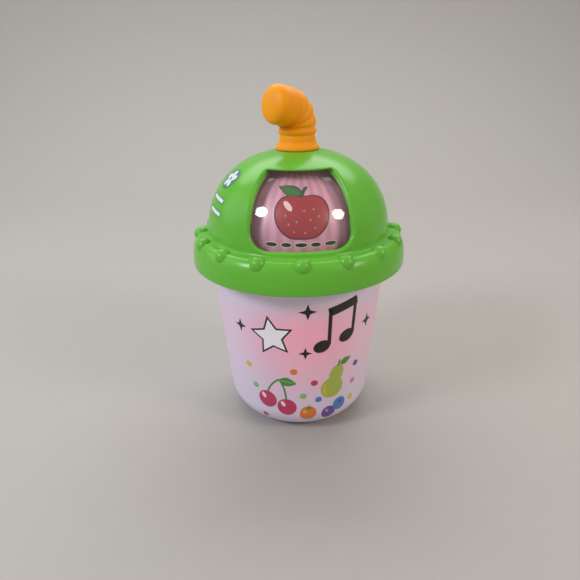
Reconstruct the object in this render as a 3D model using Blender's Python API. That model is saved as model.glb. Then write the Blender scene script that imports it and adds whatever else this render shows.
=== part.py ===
"""Toy blender: a frosted cup lit from inside, a green domed lid with a picture window,
and a bent orange straw that turns the pictures.

Metres, +Z up, the window looks along -Y. The origin is the middle of the flat base.
Azimuths are in degrees from the front (-Y) towards +X.
"""
from math import acos, asin, atan, cos, degrees, pi, radians, sin, sqrt

import bmesh
import bpy
from mathutils import Matrix, Vector

# Clearances
GAP = 0.0003
LENS_GAP = 0.0006
OVERRUN = 0.0010
MERGE = 0.000001

# How finely round things are divided
ROUND = 36
MEDIUM_ROUND = 20
DRUM_ROUND = 28
SMALL_ROUND = 9
STRAW_SIDES = 18
CORNER_STEPS = 3
BRIM_STEPS = 5
INNER_BRIM_STEPS = 3
DOME_STEPS = 8
INNER_DOME_STEPS = 7
DRUM_STEPS = 6
INNER_DRUM_STEPS = 4
LENS_COLUMNS = 10
LENS_ROWS = 8
TAB_STEPS = 6
WHEEL_STEPS = 7
LED_STEPS = 4
SHARP_ANGLE = radians(32)

# Cup
CUP_BASE_RADIUS = 0.0370
CUP_MOUTH_RADIUS = 0.0438
CUP_CORNER_RADIUS = 0.0150
CUP_WALL = 0.0020
CUP_RIM_OVERLAP = 0.0049
CUP_FLOOR = 0.0023

# Lid: brim and dome
LID_BOTTOM = 0.0851
LID_WALL = 0.0024
BRIM_SWELL = 0.0050
BRIM_HEIGHT = 0.0139
BRIM_WIDEST_RISE = 0.0027
BRIM_EDGE_ROUNDING = 0.0006
BRIM_LEDGE = 0.00365
DOME_OVERHANG = 0.00055
DOME_RISE = 0.0381
DOME_STEP = 0.0016
DOME_POWER = 2.15
CREASE_WIDTH = 0.0006
BUMP_COUNT = 16
BUMP_RADIUS = 0.0033
BUMP_REACH_SHARE = 0.32
BUMP_HEIGHT = 0.0021
BUMP_ROOT = 0.0020
BUMP_SIDES = 8
BUMP_RINGS = 3
LID_SCREW_COUNT = 4
LID_SCREW_FIRST_AZIMUTH = 33.75
LID_BOSS_RADIUS = 0.0027

# Window
WINDOW_HALF_ANGLE = 32.0
WINDOW_SILL = 0.0002
WINDOW_HEIGHT = 0.0317
WINDOW_LOW_CORNER = 0.0070
WINDOW_HIGH_CORNER = 0.0030
WINDOW_COLUMNS = 8
LENS_THICKNESS = 0.0012
LENS_LAP = 0.0018

# Picture drum
DRUM_INSET = 0.0070
SLEEVE_THICKNESS = 0.0005
DRUM_WALL = 0.0016
DRUM_SKIRT = 0.0035
SLEEVE_TOP_RADIUS = 0.0140
HUB_RADIUS = 0.0080
HUB_THICKNESS = 0.0035
SHAFT_RADIUS = 0.0050
SHAFT_BORE_RADIUS = 0.0030
SHAFT_FLANGE_RADIUS = 0.0075
SHAFT_FLANGE = 0.0015
SHAFT_FLOOR = 0.0020
SHAFT_TAIL = 0.0013

# Straw
STRAW_RADIUS = 0.00855
STRAW_RIB = 0.0003
STRAW_RIB_START = 0.0062
STRAW_RIB_PITCH = 0.00355
STRAW_RIB_COUNT = 4
STRAW_WALL = 0.0018
STRAW_COLLAR_RADIUS = 0.0102
STRAW_COLLAR_HEIGHT = 0.0036
STRAW_COLLAR_RIM = 0.0008
STRAW_UPRIGHT = 0.0098
STRAW_BEND_CREASE = 0.00045
STRAW_BEND_ANGLE = 79.0
STRAW_REACH = 0.0068
STRAW_AZIMUTH = -50.0
STRAW_SPIGOT_RADIUS = 0.0060
STRAW_FLOOR = 0.0046
STRAW_END_ROUNDING = 0.0008
STRAW_CAP_THICKNESS = 0.0014
STRAW_CAP_CROWN = 0.0006
STRAW_CAP_CROWN_SHARE = 0.8
STRAW_CAP_PLUG = 0.0020
STRAW_RING_SPACING = 0.0009
BUSH_WALL = 0.0013
BUSH_FLANGE = 0.0008
BUSH_FLANGE_LAP = 0.0008

# Inner frame
DECK_THICKNESS = 0.0022
DECK_EDGE_MARGIN = 0.0024
POST_RADIUS = 0.0030
POST_MARGIN = 0.0010
POST_AZIMUTHS = (75.0, 130.0, -130.0, -75.0)
DECK_BUSH_WALL = 0.0014
DECK_BUSH_FLANGE = 0.0005
DECK_BUSH_LAP = 0.0012
DECK_WIRE_HOLE_RADIUS = 0.0022

# Brim ring
RING_THICKNESS = 0.0016

# Clicker
WHEEL_RADIUS = 0.0110
WHEEL_THICKNESS = 0.0027
WHEEL_NOTCH_DEPTH = 0.0014
WHEEL_NOTCH_ANGLE = 8.0
WHEEL_NOTCH_COUNT = 4
ARM_THICKNESS = 0.0008
ARM_HEIGHT = 0.0035
ARM_BLOCK = 0.0070
ARM_REACH = 0.0170
ARM_TAIL = 0.0040
ARM_NUB_HALF_WIDTH = 0.0018
TURN_SWITCH_LENGTH = 0.0060
TURN_SWITCH_WIDTH = 0.0058
TURN_SWITCH_NUB = 0.0026
TURN_SWITCH_NUB_WIDTH = 0.0020

# Base plate
BASE_RADIUS = 0.0250
BASE_DISC = 0.0012
BASE_CHAMFER = 0.0005
SPIGOT_RADIUS = 0.0225
SPIGOT_HEIGHT = 0.0018

# Battery bay
CELL_RADIUS = 0.00525
CELL_LENGTH = 0.0445
CELL_NUB_RADIUS = 0.0019
CELL_NUB_LENGTH = 0.0010
CELL_EDGE = 0.0004
BOX_WALL = 0.0012
BOX_MARGIN = 0.0012
BATTERY_SPRING_HEIGHT = 0.0043
BATTERY_SPRING_RADIUS = 0.0040
BATTERY_SPRING_TIP_RADIUS = 0.0022
BATTERY_SPRING_WIRE = 0.00028
BATTERY_SPRING_CURLS = 3
BATTERY_SPRING_CURL_POINTS = 8
CONTACT_THICKNESS = 0.0004
CONTACT_RADIUS = 0.0040
CONTACT_PIN_RADIUS = 0.0006
BRIDGE_HALF_LENGTH = 0.0095
BRIDGE_HALF_WIDTH = 0.0035
DOOR_THICKNESS = 0.0014
DOOR_RECESS_ROOF = 0.0010
DOOR_LAP = 0.0010
DOOR_TAB_RADIUS = 0.0028
DOOR_BOSS_RADIUS = 0.0021
DOOR_BOSS_HEIGHT = 0.0040

# Speaker
SPEAKER_RADIUS = 0.0100
SPEAKER_FLANGE = 0.0010
SPEAKER_BASKET_DEPTH = 0.0030
SPEAKER_BASKET_RADIUS = 0.0070
SPEAKER_MAGNET_RADIUS = 0.0045
SPEAKER_MAGNET_HEIGHT = 0.0020
SPEAKER_RIM = 0.0015
SPEAKER_CLEARANCE = 0.0025
CONE_THICKNESS = 0.0004
CONE_CAP_RADIUS = 0.0024
SPEAKER_SLOT_COUNT = 5
SPEAKER_SLOT_PITCH = 0.0030
SPEAKER_SLOT_WIDTH = 0.0016
SPEAKER_SLOT_MARGIN = 0.0022

# Power switch
SWITCH_LENGTH = 0.0070
SWITCH_WIDTH = 0.0040
SWITCH_HEIGHT = 0.0035
SWITCH_TRAVEL = 0.0040
KNOB_LENGTH = 0.0034
KNOB_WIDTH = 0.0032
KNOB_PAD = 0.0012
KNOB_STEM_WIDTH = 0.0014
KNOB_RECESS = 0.0018
SWITCH_AZIMUTH = 100.0
SWITCH_MARGIN = 0.0010

# Circuit board
BOARD_RADIUS = 0.0240
BOARD_THICKNESS = 0.0016
BOARD_STANDOFF = 0.0030
BOARD_BOSS_RADIUS = 0.0020
BOARD_POST_CLEARANCE = 0.0005
LED_RADIUS = 0.0025
LED_FLANGE = 0.0004
LED_FLANGE_HEIGHT = 0.0010
LED_BODY_HEIGHT = 0.0060
LED_EDGE_MARGIN = 0.0006
CHIP_RADIUS = 0.0042
CHIP_HEIGHT = 0.0015
CHIP_TOP_SHARE = 0.8
CHIP_SIDE_SHARE = 0.7
CAPACITOR_RADIUS = 0.0025
CAPACITOR_HEIGHT = 0.0070

# Screws
SCREW_SHANK_RADIUS = 0.0010
SCREW_HEAD_RADIUS = 0.0020
SCREW_HEAD_HEIGHT = 0.0013
SCREW_CROSS_WIDTH = 0.0006
SCREW_CROSS_LENGTH = 0.0024
SCREW_CROSS_DEPTH = 0.0006
BASE_SCREW_LENGTH = 0.0090
LID_SCREW_LENGTH = 0.0075
DOOR_SCREW_LENGTH = 0.0045
DOOR_SCREW_HEAD_HEIGHT = 0.0006
DOOR_SCREW_CROSS_DEPTH = 0.0003
DOOR_SCREW_SEAT = 0.0005
BOARD_SCREW_LENGTH = 0.0045
STRAW_SCREW_LENGTH = 0.0090
ARM_SCREW_LENGTH = 0.0050

# Wires
WIRE_RADIUS = 0.0006
WIRE_SPREAD = 0.0015
WIRE_BOW = 0.0020
WIRE_POINTS = 9

# Heights and radii that follow from the sizes above
CUP_LEAN_SHARE = (CUP_MOUTH_RADIUS - CUP_BASE_RADIUS) / LID_BOTTOM
CUP_RIM = LID_BOTTOM + CUP_RIM_OVERLAP
DOME_RADIUS = CUP_MOUTH_RADIUS + DOME_OVERHANG
BRIM_SHOULDER_RADIUS = DOME_RADIUS + BRIM_LEDGE
BRIM_RADIUS = BRIM_SHOULDER_RADIUS + BRIM_SWELL
BUMP_CIRCLE_RADIUS = BRIM_SHOULDER_RADIUS + BRIM_SWELL * BUMP_REACH_SHARE
STRAW_BEND_RADIUS = STRAW_RADIUS + STRAW_RIB + STRAW_BEND_CREASE
BRIM_TOP = LID_BOTTOM + BRIM_HEIGHT
BRIM_WIDEST = LID_BOTTOM + BRIM_WIDEST_RISE
DOME_BASE = BRIM_TOP + DOME_STEP
WINDOW_BOTTOM = DOME_BASE + WINDOW_SILL
WINDOW_TOP = WINDOW_BOTTOM + WINDOW_HEIGHT
BASE_TOP = BASE_DISC + SPIGOT_HEIGHT
DECK_BOTTOM = CUP_RIM + GAP
DECK_TOP = DECK_BOTTOM + DECK_THICKNESS
DECK_HOLE_RADIUS = SHAFT_RADIUS + GAP + DECK_BUSH_WALL + GAP
MECHANISM_BOTTOM = DECK_TOP + GAP
SCREW_HOLE_RADIUS = SCREW_SHANK_RADIUS + GAP
COUNTERBORE_RADIUS = SCREW_HEAD_RADIUS + GAP
POST_CIRCLE_RADIUS = SPIGOT_RADIUS - POST_RADIUS - POST_MARGIN
BAY_HALF_WIDTH = 2 * CELL_RADIUS + 2 * GAP
BAY_HALF_DEPTH = CELL_RADIUS + GAP
BOX_HALF_WIDTH = BAY_HALF_WIDTH + BOX_WALL
BOX_HALF_DEPTH = BAY_HALF_DEPTH + BOX_WALL
BOX_FRONT = -(sqrt(SPIGOT_RADIUS ** 2 - BOX_HALF_WIDTH ** 2) - BOX_MARGIN)
BOX_Y = BOX_FRONT + BOX_HALF_DEPTH
BOX_BACK = BOX_Y + BOX_HALF_DEPTH
CELL_X = CELL_RADIUS + GAP
DOOR_BOTTOM = GAP
DOOR_TOP = DOOR_BOTTOM + DOOR_THICKNESS
BRIDGE_BOTTOM = DOOR_TOP + GAP
BAY_BOTTOM = BRIDGE_BOTTOM + CONTACT_THICKNESS + GAP
LEFT_CELL_BOTTOM = BAY_BOTTOM + BATTERY_SPRING_HEIGHT + GAP
BAY_TOP = LEFT_CELL_BOTTOM + CELL_LENGTH + GAP
BOX_CEILING = BAY_TOP + CONTACT_THICKNESS + GAP
BOX_BOTTOM = BASE_TOP + GAP
BOX_TOP = BOX_CEILING + BOX_WALL
BOARD_BOTTOM = BOX_TOP + BOARD_STANDOFF + GAP
BOARD_TOP = BOARD_BOTTOM + BOARD_THICKNESS
ON_BOARD = BOARD_TOP + GAP
DOOR_SCREW_Y = BOX_FRONT - DOOR_BOSS_RADIUS - GAP
SPEAKER_Y = BOX_BACK + SPEAKER_CLEARANCE + SPEAKER_RADIUS
LID_SCREW_CIRCLE = CUP_MOUTH_RADIUS + CUP_LEAN_SHARE * CUP_RIM_OVERLAP + GAP + LID_BOSS_RADIUS
DRUM_BOTTOM = DOME_BASE - DRUM_SKIRT
DRUM_WALL_INSET = DRUM_INSET + SLEEVE_THICKNESS + GAP


# Shared geometry of the object

def around(radius, azimuth):
    """Where a point lies at a radius and an azimuth from the front."""
    turn = radians(azimuth)
    return (radius * sin(turn), -radius * cos(turn))


def cup_radius(height, inset=0):
    """The cup side's radius at a height, or that of a surface lying inset behind it."""
    return CUP_BASE_RADIUS + CUP_LEAN_SHARE * height - inset * sqrt(1 + CUP_LEAN_SHARE ** 2)


def cup_corner(inset, first_angle, steps=CORNER_STEPS):
    """Points round the cup's bottom corner, from first_angle to the straight side."""
    centre = cup_radius(CUP_CORNER_RADIUS, CUP_CORNER_RADIUS)
    last_angle = -atan(CUP_LEAN_SHARE)
    radius = CUP_CORNER_RADIUS - inset
    points = []
    for step in range(steps + 1):
        angle = first_angle + (last_angle - first_angle) * step / steps
        points.append((centre + radius * cos(angle), CUP_CORNER_RADIUS + radius * sin(angle)))
    return points


def corner_angle_at_radius(inset, radius):
    """The angle on the bottom corner where it reaches a radius."""
    centre = cup_radius(CUP_CORNER_RADIUS, CUP_CORNER_RADIUS)
    reach = (radius - centre) / (CUP_CORNER_RADIUS - inset)
    return -acos(max(0, min(1, reach)))


def corner_angle_at_height(inset, height):
    """The angle on the bottom corner where it reaches a height."""
    return -asin((CUP_CORNER_RADIUS - height) / (CUP_CORNER_RADIUS - inset))


def dome_height(radius, inset=0):
    """Height of the dome, or of a surface lying inset behind it, at a radius."""
    across = radius / (DOME_RADIUS - inset)
    rise_share = (1 - across ** DOME_POWER) ** (1 / DOME_POWER)
    return DOME_BASE + (DOME_RISE - inset) * rise_share


def dome_radius(height, inset=0):
    """Radius of the dome, or of a surface lying inset behind it, at a height."""
    up = max(0, height - DOME_BASE) / (DOME_RISE - inset)
    return (DOME_RADIUS - inset) * (1 - up ** DOME_POWER) ** (1 / DOME_POWER)


def dome_arc(inset, top_radius, steps, bottom=DOME_BASE):
    """Points up the dome from a height to a radius, evenly turned about its middle."""
    first = asin(min(1, max(0, bottom - DOME_BASE) / (DOME_RISE - inset)) ** (DOME_POWER / 2))
    last = acos((top_radius / (DOME_RADIUS - inset)) ** (DOME_POWER / 2))
    points = []
    for step in range(steps + 1):
        turn = first + (last - first) * step / steps
        radius = (DOME_RADIUS - inset) * cos(turn) ** (2 / DOME_POWER)
        points.append((radius, DOME_BASE + (DOME_RISE - inset) * sin(turn) ** (2 / DOME_POWER)))
    return points


def brim_arc(inset, steps=BRIM_STEPS):
    """Points up the brim's outside from its widest to its shoulder."""
    reach = BRIM_SWELL - inset
    rise = BRIM_TOP - BRIM_WIDEST - inset
    points = []
    for step in range(steps + 1):
        turn = pi / 2 * step / steps
        points.append((BRIM_SHOULDER_RADIUS + reach * cos(turn), BRIM_WIDEST + rise * sin(turn)))
    return points


# Making solids

def plastic(name, colour, roughness, metallic=0, transmission=0):
    """A material for one piece."""
    material = bpy.data.materials.new(name)
    material.use_nodes = True
    shader = material.node_tree.nodes["Principled BSDF"]
    shader.inputs["Base Color"].default_value = (*colour, 1)
    shader.inputs["Roughness"].default_value = roughness
    shader.inputs["Metallic"].default_value = metallic
    shader.inputs["Transmission Weight"].default_value = transmission
    material.diffuse_color = (*colour, 1)
    return material


def add_piece(name, solid, material=None):
    """Turns a bmesh into a named object, smooth where it is round."""
    bmesh.ops.recalc_face_normals(solid, faces=solid.faces)
    mesh = bpy.data.meshes.new(name)
    solid.to_mesh(mesh)
    solid.free()
    mesh.shade_smooth()
    mesh.set_sharp_from_angle(angle=SHARP_ANGLE)
    piece = bpy.data.objects.new(name, mesh)
    bpy.context.scene.collection.objects.link(piece)
    if material:
        mesh.materials.append(material)
    return piece


def turned(name, outline, material=None, sides=ROUND):
    """Spins an outline of (radius, height) points about the vertical axis."""
    solid = bmesh.new()
    corners = [solid.verts.new((radius, 0, height)) for radius, height in outline]
    edges = [solid.edges.new(pair) for pair in zip(corners, corners[1:])]
    if outline[0][0] > 0 or outline[-1][0] > 0:
        edges.append(solid.edges.new((corners[-1], corners[0])))
    bmesh.ops.spin(solid, geom=corners + edges, cent=(0, 0, 0), axis=(0, 0, 1), angle=2 * pi, steps=sides)
    bmesh.ops.remove_doubles(solid, verts=solid.verts, dist=MERGE)
    return add_piece(name, solid, material)


def prism(name, outline, low, high, material=None):
    """Extrudes a flat outline of (x, y) points from low to high."""
    solid = bmesh.new()
    face = solid.faces.new([solid.verts.new((x, y, low)) for x, y in outline])
    grown = bmesh.ops.extrude_face_region(solid, geom=[face])
    lifted = [part for part in grown["geom"] if isinstance(part, bmesh.types.BMVert)]
    bmesh.ops.translate(solid, verts=lifted, vec=(0, 0, high - low))
    return add_piece(name, solid, material)


def cylinders(name, places, radius, low, high, sides=SMALL_ROUND):
    """Upright cylinders at (x, y) places, for cutting or for joining on."""
    solid = bmesh.new()
    for x, y in places:
        upright = Matrix.Translation((x, y, (low + high) / 2))
        bmesh.ops.create_cone(solid, cap_ends=True, segments=sides, radius1=radius, radius2=radius,
                              depth=high - low, matrix=upright)
    return add_piece(name, solid)


def rectangle(half_width, half_depth, x=0, y=0):
    """The corners of a rectangle about a place."""
    return [(x - half_width, y - half_depth), (x + half_width, y - half_depth),
            (x + half_width, y + half_depth), (x - half_width, y + half_depth)]


def combine(piece, tool, operation):
    """Cuts a tool from a piece or joins it on, and hides the tool."""
    tool.hide_render = True
    tool.display_type = 'WIRE'
    step = piece.modifiers.new(tool.name, 'BOOLEAN')
    step.operation = operation
    step.solver = 'EXACT'
    step.object = tool
    return piece


def cut(piece, tool):
    return combine(piece, tool, 'DIFFERENCE')


def join(piece, tool):
    return combine(piece, tool, 'UNION')


def tube(name, points, radius, material):
    """A round wire along points, with flat ends."""
    curve = bpy.data.curves.new(name, 'CURVE')
    curve.dimensions = '3D'
    curve.bevel_depth = radius
    curve.bevel_resolution = 1
    curve.use_fill_caps = True
    line = curve.splines.new('POLY')
    line.points.add(len(points) - 1)
    for place, point in zip(line.points, points):
        place.co = (*point, 1)
    curve.materials.append(material)
    piece = bpy.data.objects.new(name, curve)
    bpy.context.scene.collection.objects.link(piece)
    return piece


def ring_solid(name, rings, sides, material):
    """Skins a closed loop of rings, each a (centre, direction, radius)."""
    solid = bmesh.new()
    loops = []
    for centre, direction, radius in rings:
        side = Vector((cos(radians(STRAW_AZIMUTH)), sin(radians(STRAW_AZIMUTH)), 0))
        up = direction.cross(side)
        corners = []
        for step in range(sides):
            turn = 2 * pi * step / sides
            corners.append(solid.verts.new(centre + radius * (cos(turn) * side + sin(turn) * up)))
        loops.append(corners)
    for first, second in zip(loops, loops[1:] + loops[:1]):
        for step in range(sides):
            after = (step + 1) % sides
            solid.faces.new((first[step], first[after], second[after], second[step]))
    return add_piece(name, solid, material)


# Screws

def screw(name, length, x, y, head_bottom, material, points_up=True, head=SCREW_HEAD_HEIGHT,
          cross_depth=SCREW_CROSS_DEPTH):
    """A cross-head screw. Its head's outer face is at head_bottom and its shank runs into the part."""
    outline = [(0, 0), (SCREW_HEAD_RADIUS, 0), (SCREW_HEAD_RADIUS, head), (SCREW_SHANK_RADIUS, head),
               (SCREW_SHANK_RADIUS, length - SCREW_SHANK_RADIUS), (0, length)]
    piece = turned(name, outline, material, SMALL_ROUND)
    long, thin = SCREW_CROSS_LENGTH / 2, SCREW_CROSS_WIDTH / 2
    cross = [(-thin, -long), (thin, -long), (thin, -thin), (long, -thin), (long, thin), (thin, thin),
             (thin, long), (-thin, long), (-thin, thin), (-long, thin), (-long, -thin), (-thin, -thin)]
    recess = prism(name + "_recess", cross, -OVERRUN, cross_depth)
    recess.parent = piece
    cut(piece, recess)
    piece.location = (x, y, head_bottom)
    if not points_up:
        piece.rotation_euler = (pi, 0, 0)
    return piece


def steel(name):
    return plastic(name, (0.55, 0.55, 0.56), 0.35, metallic=1)


# Base

def door_outline(lap):
    """The battery door: a rectangle with a rounded tab for its screw."""
    half_width = BAY_HALF_WIDTH + lap
    half_depth = BAY_HALF_DEPTH + lap
    tab_radius = DOOR_TAB_RADIUS + lap - DOOR_LAP
    front = BOX_Y - half_depth
    outline = [(tab_radius, front), (half_width, front), (half_width, BOX_Y + half_depth),
               (-half_width, BOX_Y + half_depth), (-half_width, front), (-tab_radius, front)]
    for step in range(TAB_STEPS + 1):
        turn = pi * step / TAB_STEPS
        outline.append((-tab_radius * cos(turn), DOOR_SCREW_Y - tab_radius * sin(turn)))
    return outline


def speaker_slots():
    """Slots over the speaker, each as long as its chord of the cone allows."""
    solid = bmesh.new()
    reach = SPEAKER_RADIUS - SPEAKER_SLOT_MARGIN
    for number in range(SPEAKER_SLOT_COUNT):
        x = (number - (SPEAKER_SLOT_COUNT - 1) / 2) * SPEAKER_SLOT_PITCH
        half_length = sqrt(max(SPEAKER_SLOT_WIDTH ** 2, reach ** 2 - x ** 2))
        size = Matrix.Diagonal((SPEAKER_SLOT_WIDTH, 2 * half_length, BASE_TOP + 2 * OVERRUN, 1))
        bmesh.ops.create_cube(solid, size=1, matrix=Matrix.Translation((x, SPEAKER_Y, BASE_TOP / 2)) @ size)
    return add_piece("speaker_slots", solid)


def switch_place():
    """The middle of the switch, as near the spigot's edge as its corners allow."""
    corner = sqrt((SWITCH_WIDTH / 2) ** 2 + (SWITCH_LENGTH / 2) ** 2)
    return around(SPIGOT_RADIUS - corner - SWITCH_MARGIN, SWITCH_AZIMUTH)


def post_places():
    return [around(POST_CIRCLE_RADIUS, azimuth) for azimuth in POST_AZIMUTHS]


def base_plate():
    outline = [(0, 0), (BASE_RADIUS - BASE_CHAMFER, 0), (BASE_RADIUS, BASE_CHAMFER), (BASE_RADIUS, BASE_DISC),
               (SPIGOT_RADIUS, BASE_DISC), (SPIGOT_RADIUS, BASE_TOP), (0, BASE_TOP)]
    plate = turned("base_plate", outline, plastic("base_white", (0.86, 0.85, 0.84), 0.45))
    boss_top = BASE_TOP + DOOR_BOSS_HEIGHT
    join(plate, cylinders("door_boss", [(0, DOOR_SCREW_Y)], DOOR_BOSS_RADIUS, BASE_DISC, boss_top))
    recess_top = BASE_TOP - DOOR_RECESS_ROOF
    cut(plate, prism("door_recess", door_outline(DOOR_LAP + GAP), -OVERRUN, recess_top))
    bay = rectangle(BAY_HALF_WIDTH, BAY_HALF_DEPTH, 0, BOX_Y)
    cut(plate, prism("bay_opening", bay, 0, BASE_TOP + OVERRUN))
    cut(plate, speaker_slots())
    x, y = switch_place()
    recess = rectangle(KNOB_WIDTH / 2 + GAP, (KNOB_LENGTH + SWITCH_TRAVEL) / 2 + GAP, x, y)
    cut(plate, prism("knob_recess", recess, -OVERRUN, KNOB_RECESS))
    slot = rectangle(KNOB_STEM_WIDTH / 2 + GAP, (KNOB_STEM_WIDTH + SWITCH_TRAVEL) / 2 + GAP, x, y)
    cut(plate, prism("knob_slot", slot, 0, BASE_TOP + OVERRUN))
    cut(plate, cylinders("base_screw_holes", post_places(), SCREW_HOLE_RADIUS, -OVERRUN, BASE_TOP + OVERRUN))
    sink = GAP + SCREW_HEAD_HEIGHT + GAP
    cut(plate, cylinders("base_screw_sinks", post_places(), COUNTERBORE_RADIUS, -OVERRUN, sink))
    cut(plate, cylinders("door_screw_hole", [(0, DOOR_SCREW_Y)], SCREW_HOLE_RADIUS, 0, boss_top + OVERRUN))
    return plate


def base_screws():
    for number, (x, y) in enumerate(post_places(), 1):
        name = "base_screw_" + str(number)
        screw(name, BASE_SCREW_LENGTH, x, y, GAP, steel(name))


def battery_door():
    door = prism("battery_door", door_outline(DOOR_LAP), DOOR_BOTTOM, DOOR_TOP,
                 plastic("door_white", (0.86, 0.85, 0.84), 0.45))
    cut(door, cylinders("door_hole", [(0, DOOR_SCREW_Y)], SCREW_HOLE_RADIUS, 0, BASE_TOP))
    sink = DOOR_TOP - DOOR_SCREW_SEAT
    cut(door, cylinders("door_sink", [(0, DOOR_SCREW_Y)], COUNTERBORE_RADIUS, 0, sink))
    screw("battery_door_screw", DOOR_SCREW_LENGTH, 0, DOOR_SCREW_Y, sink - GAP - DOOR_SCREW_HEAD_HEIGHT,
          steel("door_screw_steel"), head=DOOR_SCREW_HEAD_HEIGHT, cross_depth=DOOR_SCREW_CROSS_DEPTH)


# Battery bay

def battery_cell(name, x, bottom, nub_up, colour):
    body_length = CELL_LENGTH - CELL_NUB_LENGTH
    outline = [(0, 0), (CELL_RADIUS - CELL_EDGE, 0), (CELL_RADIUS, CELL_EDGE),
               (CELL_RADIUS, body_length - CELL_EDGE), (CELL_RADIUS - CELL_EDGE, body_length),
               (CELL_NUB_RADIUS, body_length), (CELL_NUB_RADIUS, CELL_LENGTH), (0, CELL_LENGTH)]
    cell = turned(name, outline, plastic(name, colour, 0.3, metallic=0.6), MEDIUM_ROUND)
    cell.location = (x, BOX_Y, bottom)
    if not nub_up:
        cell.rotation_euler = (pi, 0, 0)
        cell.location.z = bottom + CELL_LENGTH
    return cell


def battery_spring(name, x, bottom, wide_end_up):
    """A conical coil whose wide end sits on its contact plate."""
    steps = BATTERY_SPRING_CURLS * BATTERY_SPRING_CURL_POINTS
    points = []
    for step in range(steps + 1):
        share = step / steps
        turn = 2 * pi * BATTERY_SPRING_CURLS * share
        radius = BATTERY_SPRING_RADIUS + (BATTERY_SPRING_TIP_RADIUS - BATTERY_SPRING_RADIUS) * share
        rise = BATTERY_SPRING_WIRE + (BATTERY_SPRING_HEIGHT - 2 * BATTERY_SPRING_WIRE) * share
        height = BATTERY_SPRING_HEIGHT - rise if wide_end_up else rise
        points.append((x + radius * cos(turn), BOX_Y + radius * sin(turn), bottom + height))
    return tube(name, points, BATTERY_SPRING_WIRE, steel(name))


def battery_contacts():
    bridge = rectangle(BRIDGE_HALF_LENGTH, BRIDGE_HALF_WIDTH, 0, BOX_Y)
    prism("battery_contact_bridge", bridge, BRIDGE_BOTTOM, BRIDGE_BOTTOM + CONTACT_THICKNESS, steel("bridge"))
    pin_length = BOARD_BOTTOM - GAP - BAY_TOP
    outline = [(0, 0), (CONTACT_RADIUS, 0), (CONTACT_RADIUS, CONTACT_THICKNESS),
               (CONTACT_PIN_RADIUS, CONTACT_THICKNESS), (CONTACT_PIN_RADIUS, pin_length), (0, pin_length)]
    for name, x in (("battery_contact_plus", -CELL_X), ("battery_contact_minus", CELL_X)):
        contact = turned(name, outline, steel(name), SMALL_ROUND)
        contact.location = (x, BOX_Y, BAY_TOP)


def board_screw_places():
    reach = BOX_HALF_DEPTH - BOARD_BOSS_RADIUS - GAP
    return [(0, BOX_Y - reach), (0, BOX_Y + reach)]


def battery_box():
    box = prism("battery_box", rectangle(BOX_HALF_WIDTH, BOX_HALF_DEPTH, 0, BOX_Y), BOX_BOTTOM, BOX_TOP,
                plastic("box_white", (0.80, 0.80, 0.80), 0.5))
    bay = rectangle(BAY_HALF_WIDTH, BAY_HALF_DEPTH, 0, BOX_Y)
    cut(box, prism("box_bay", bay, BASE_TOP - OVERRUN, BOX_CEILING))
    pins = [(-CELL_X, BOX_Y), (CELL_X, BOX_Y)]
    cut(box, cylinders("pin_holes", pins, CONTACT_PIN_RADIUS + GAP, BAY_TOP, BOX_TOP + OVERRUN))
    bosses = cylinders("board_bosses", board_screw_places(), BOARD_BOSS_RADIUS, BOX_TOP - BOX_WALL / 2,
                       BOARD_BOTTOM - GAP)
    join(box, bosses)
    cut(box, cylinders("board_boss_holes", board_screw_places(), SCREW_HOLE_RADIUS, BAY_TOP,
                       BOARD_BOTTOM + OVERRUN))
    return box


def batteries():
    battery_cell("battery_cell_left", -CELL_X, LEFT_CELL_BOTTOM, True, (0.60, 0.45, 0.12))
    battery_cell("battery_cell_right", CELL_X, BAY_BOTTOM, False, (0.60, 0.45, 0.12))
    battery_spring("battery_spring_lower", -CELL_X, BAY_BOTTOM, False)
    battery_spring("battery_spring_upper", CELL_X, BAY_TOP - BATTERY_SPRING_HEIGHT - GAP, True)
    battery_contacts()


# Speaker and power switch

def speaker():
    bottom = BASE_TOP + GAP
    shoulder = bottom + SPEAKER_FLANGE
    basket = shoulder + SPEAKER_BASKET_DEPTH
    top = basket + SPEAKER_MAGNET_HEIGHT
    inner = SPEAKER_RADIUS - SPEAKER_RIM
    ceiling = basket - SPEAKER_FLANGE
    outline = [(0, top), (SPEAKER_MAGNET_RADIUS, top), (SPEAKER_MAGNET_RADIUS, basket),
               (SPEAKER_BASKET_RADIUS, basket), (SPEAKER_RADIUS, shoulder), (SPEAKER_RADIUS, bottom),
               (inner, bottom), (inner, shoulder), (SPEAKER_MAGNET_RADIUS, ceiling), (0, ceiling)]
    frame = turned("speaker_frame", outline, plastic("speaker_black", (0.05, 0.05, 0.05), 0.5), MEDIUM_ROUND)
    rim = inner - GAP
    crown = ceiling - GAP
    cone = turned("speaker_cone", [(0, crown), (CONE_CAP_RADIUS, crown), (rim, bottom + CONE_THICKNESS),
                                   (rim, bottom), (CONE_CAP_RADIUS, crown - CONE_THICKNESS),
                                   (0, crown - CONE_THICKNESS)],
                  plastic("cone_paper", (0.12, 0.11, 0.10), 0.9), MEDIUM_ROUND)
    frame.location.y = SPEAKER_Y
    cone.location.y = SPEAKER_Y


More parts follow.
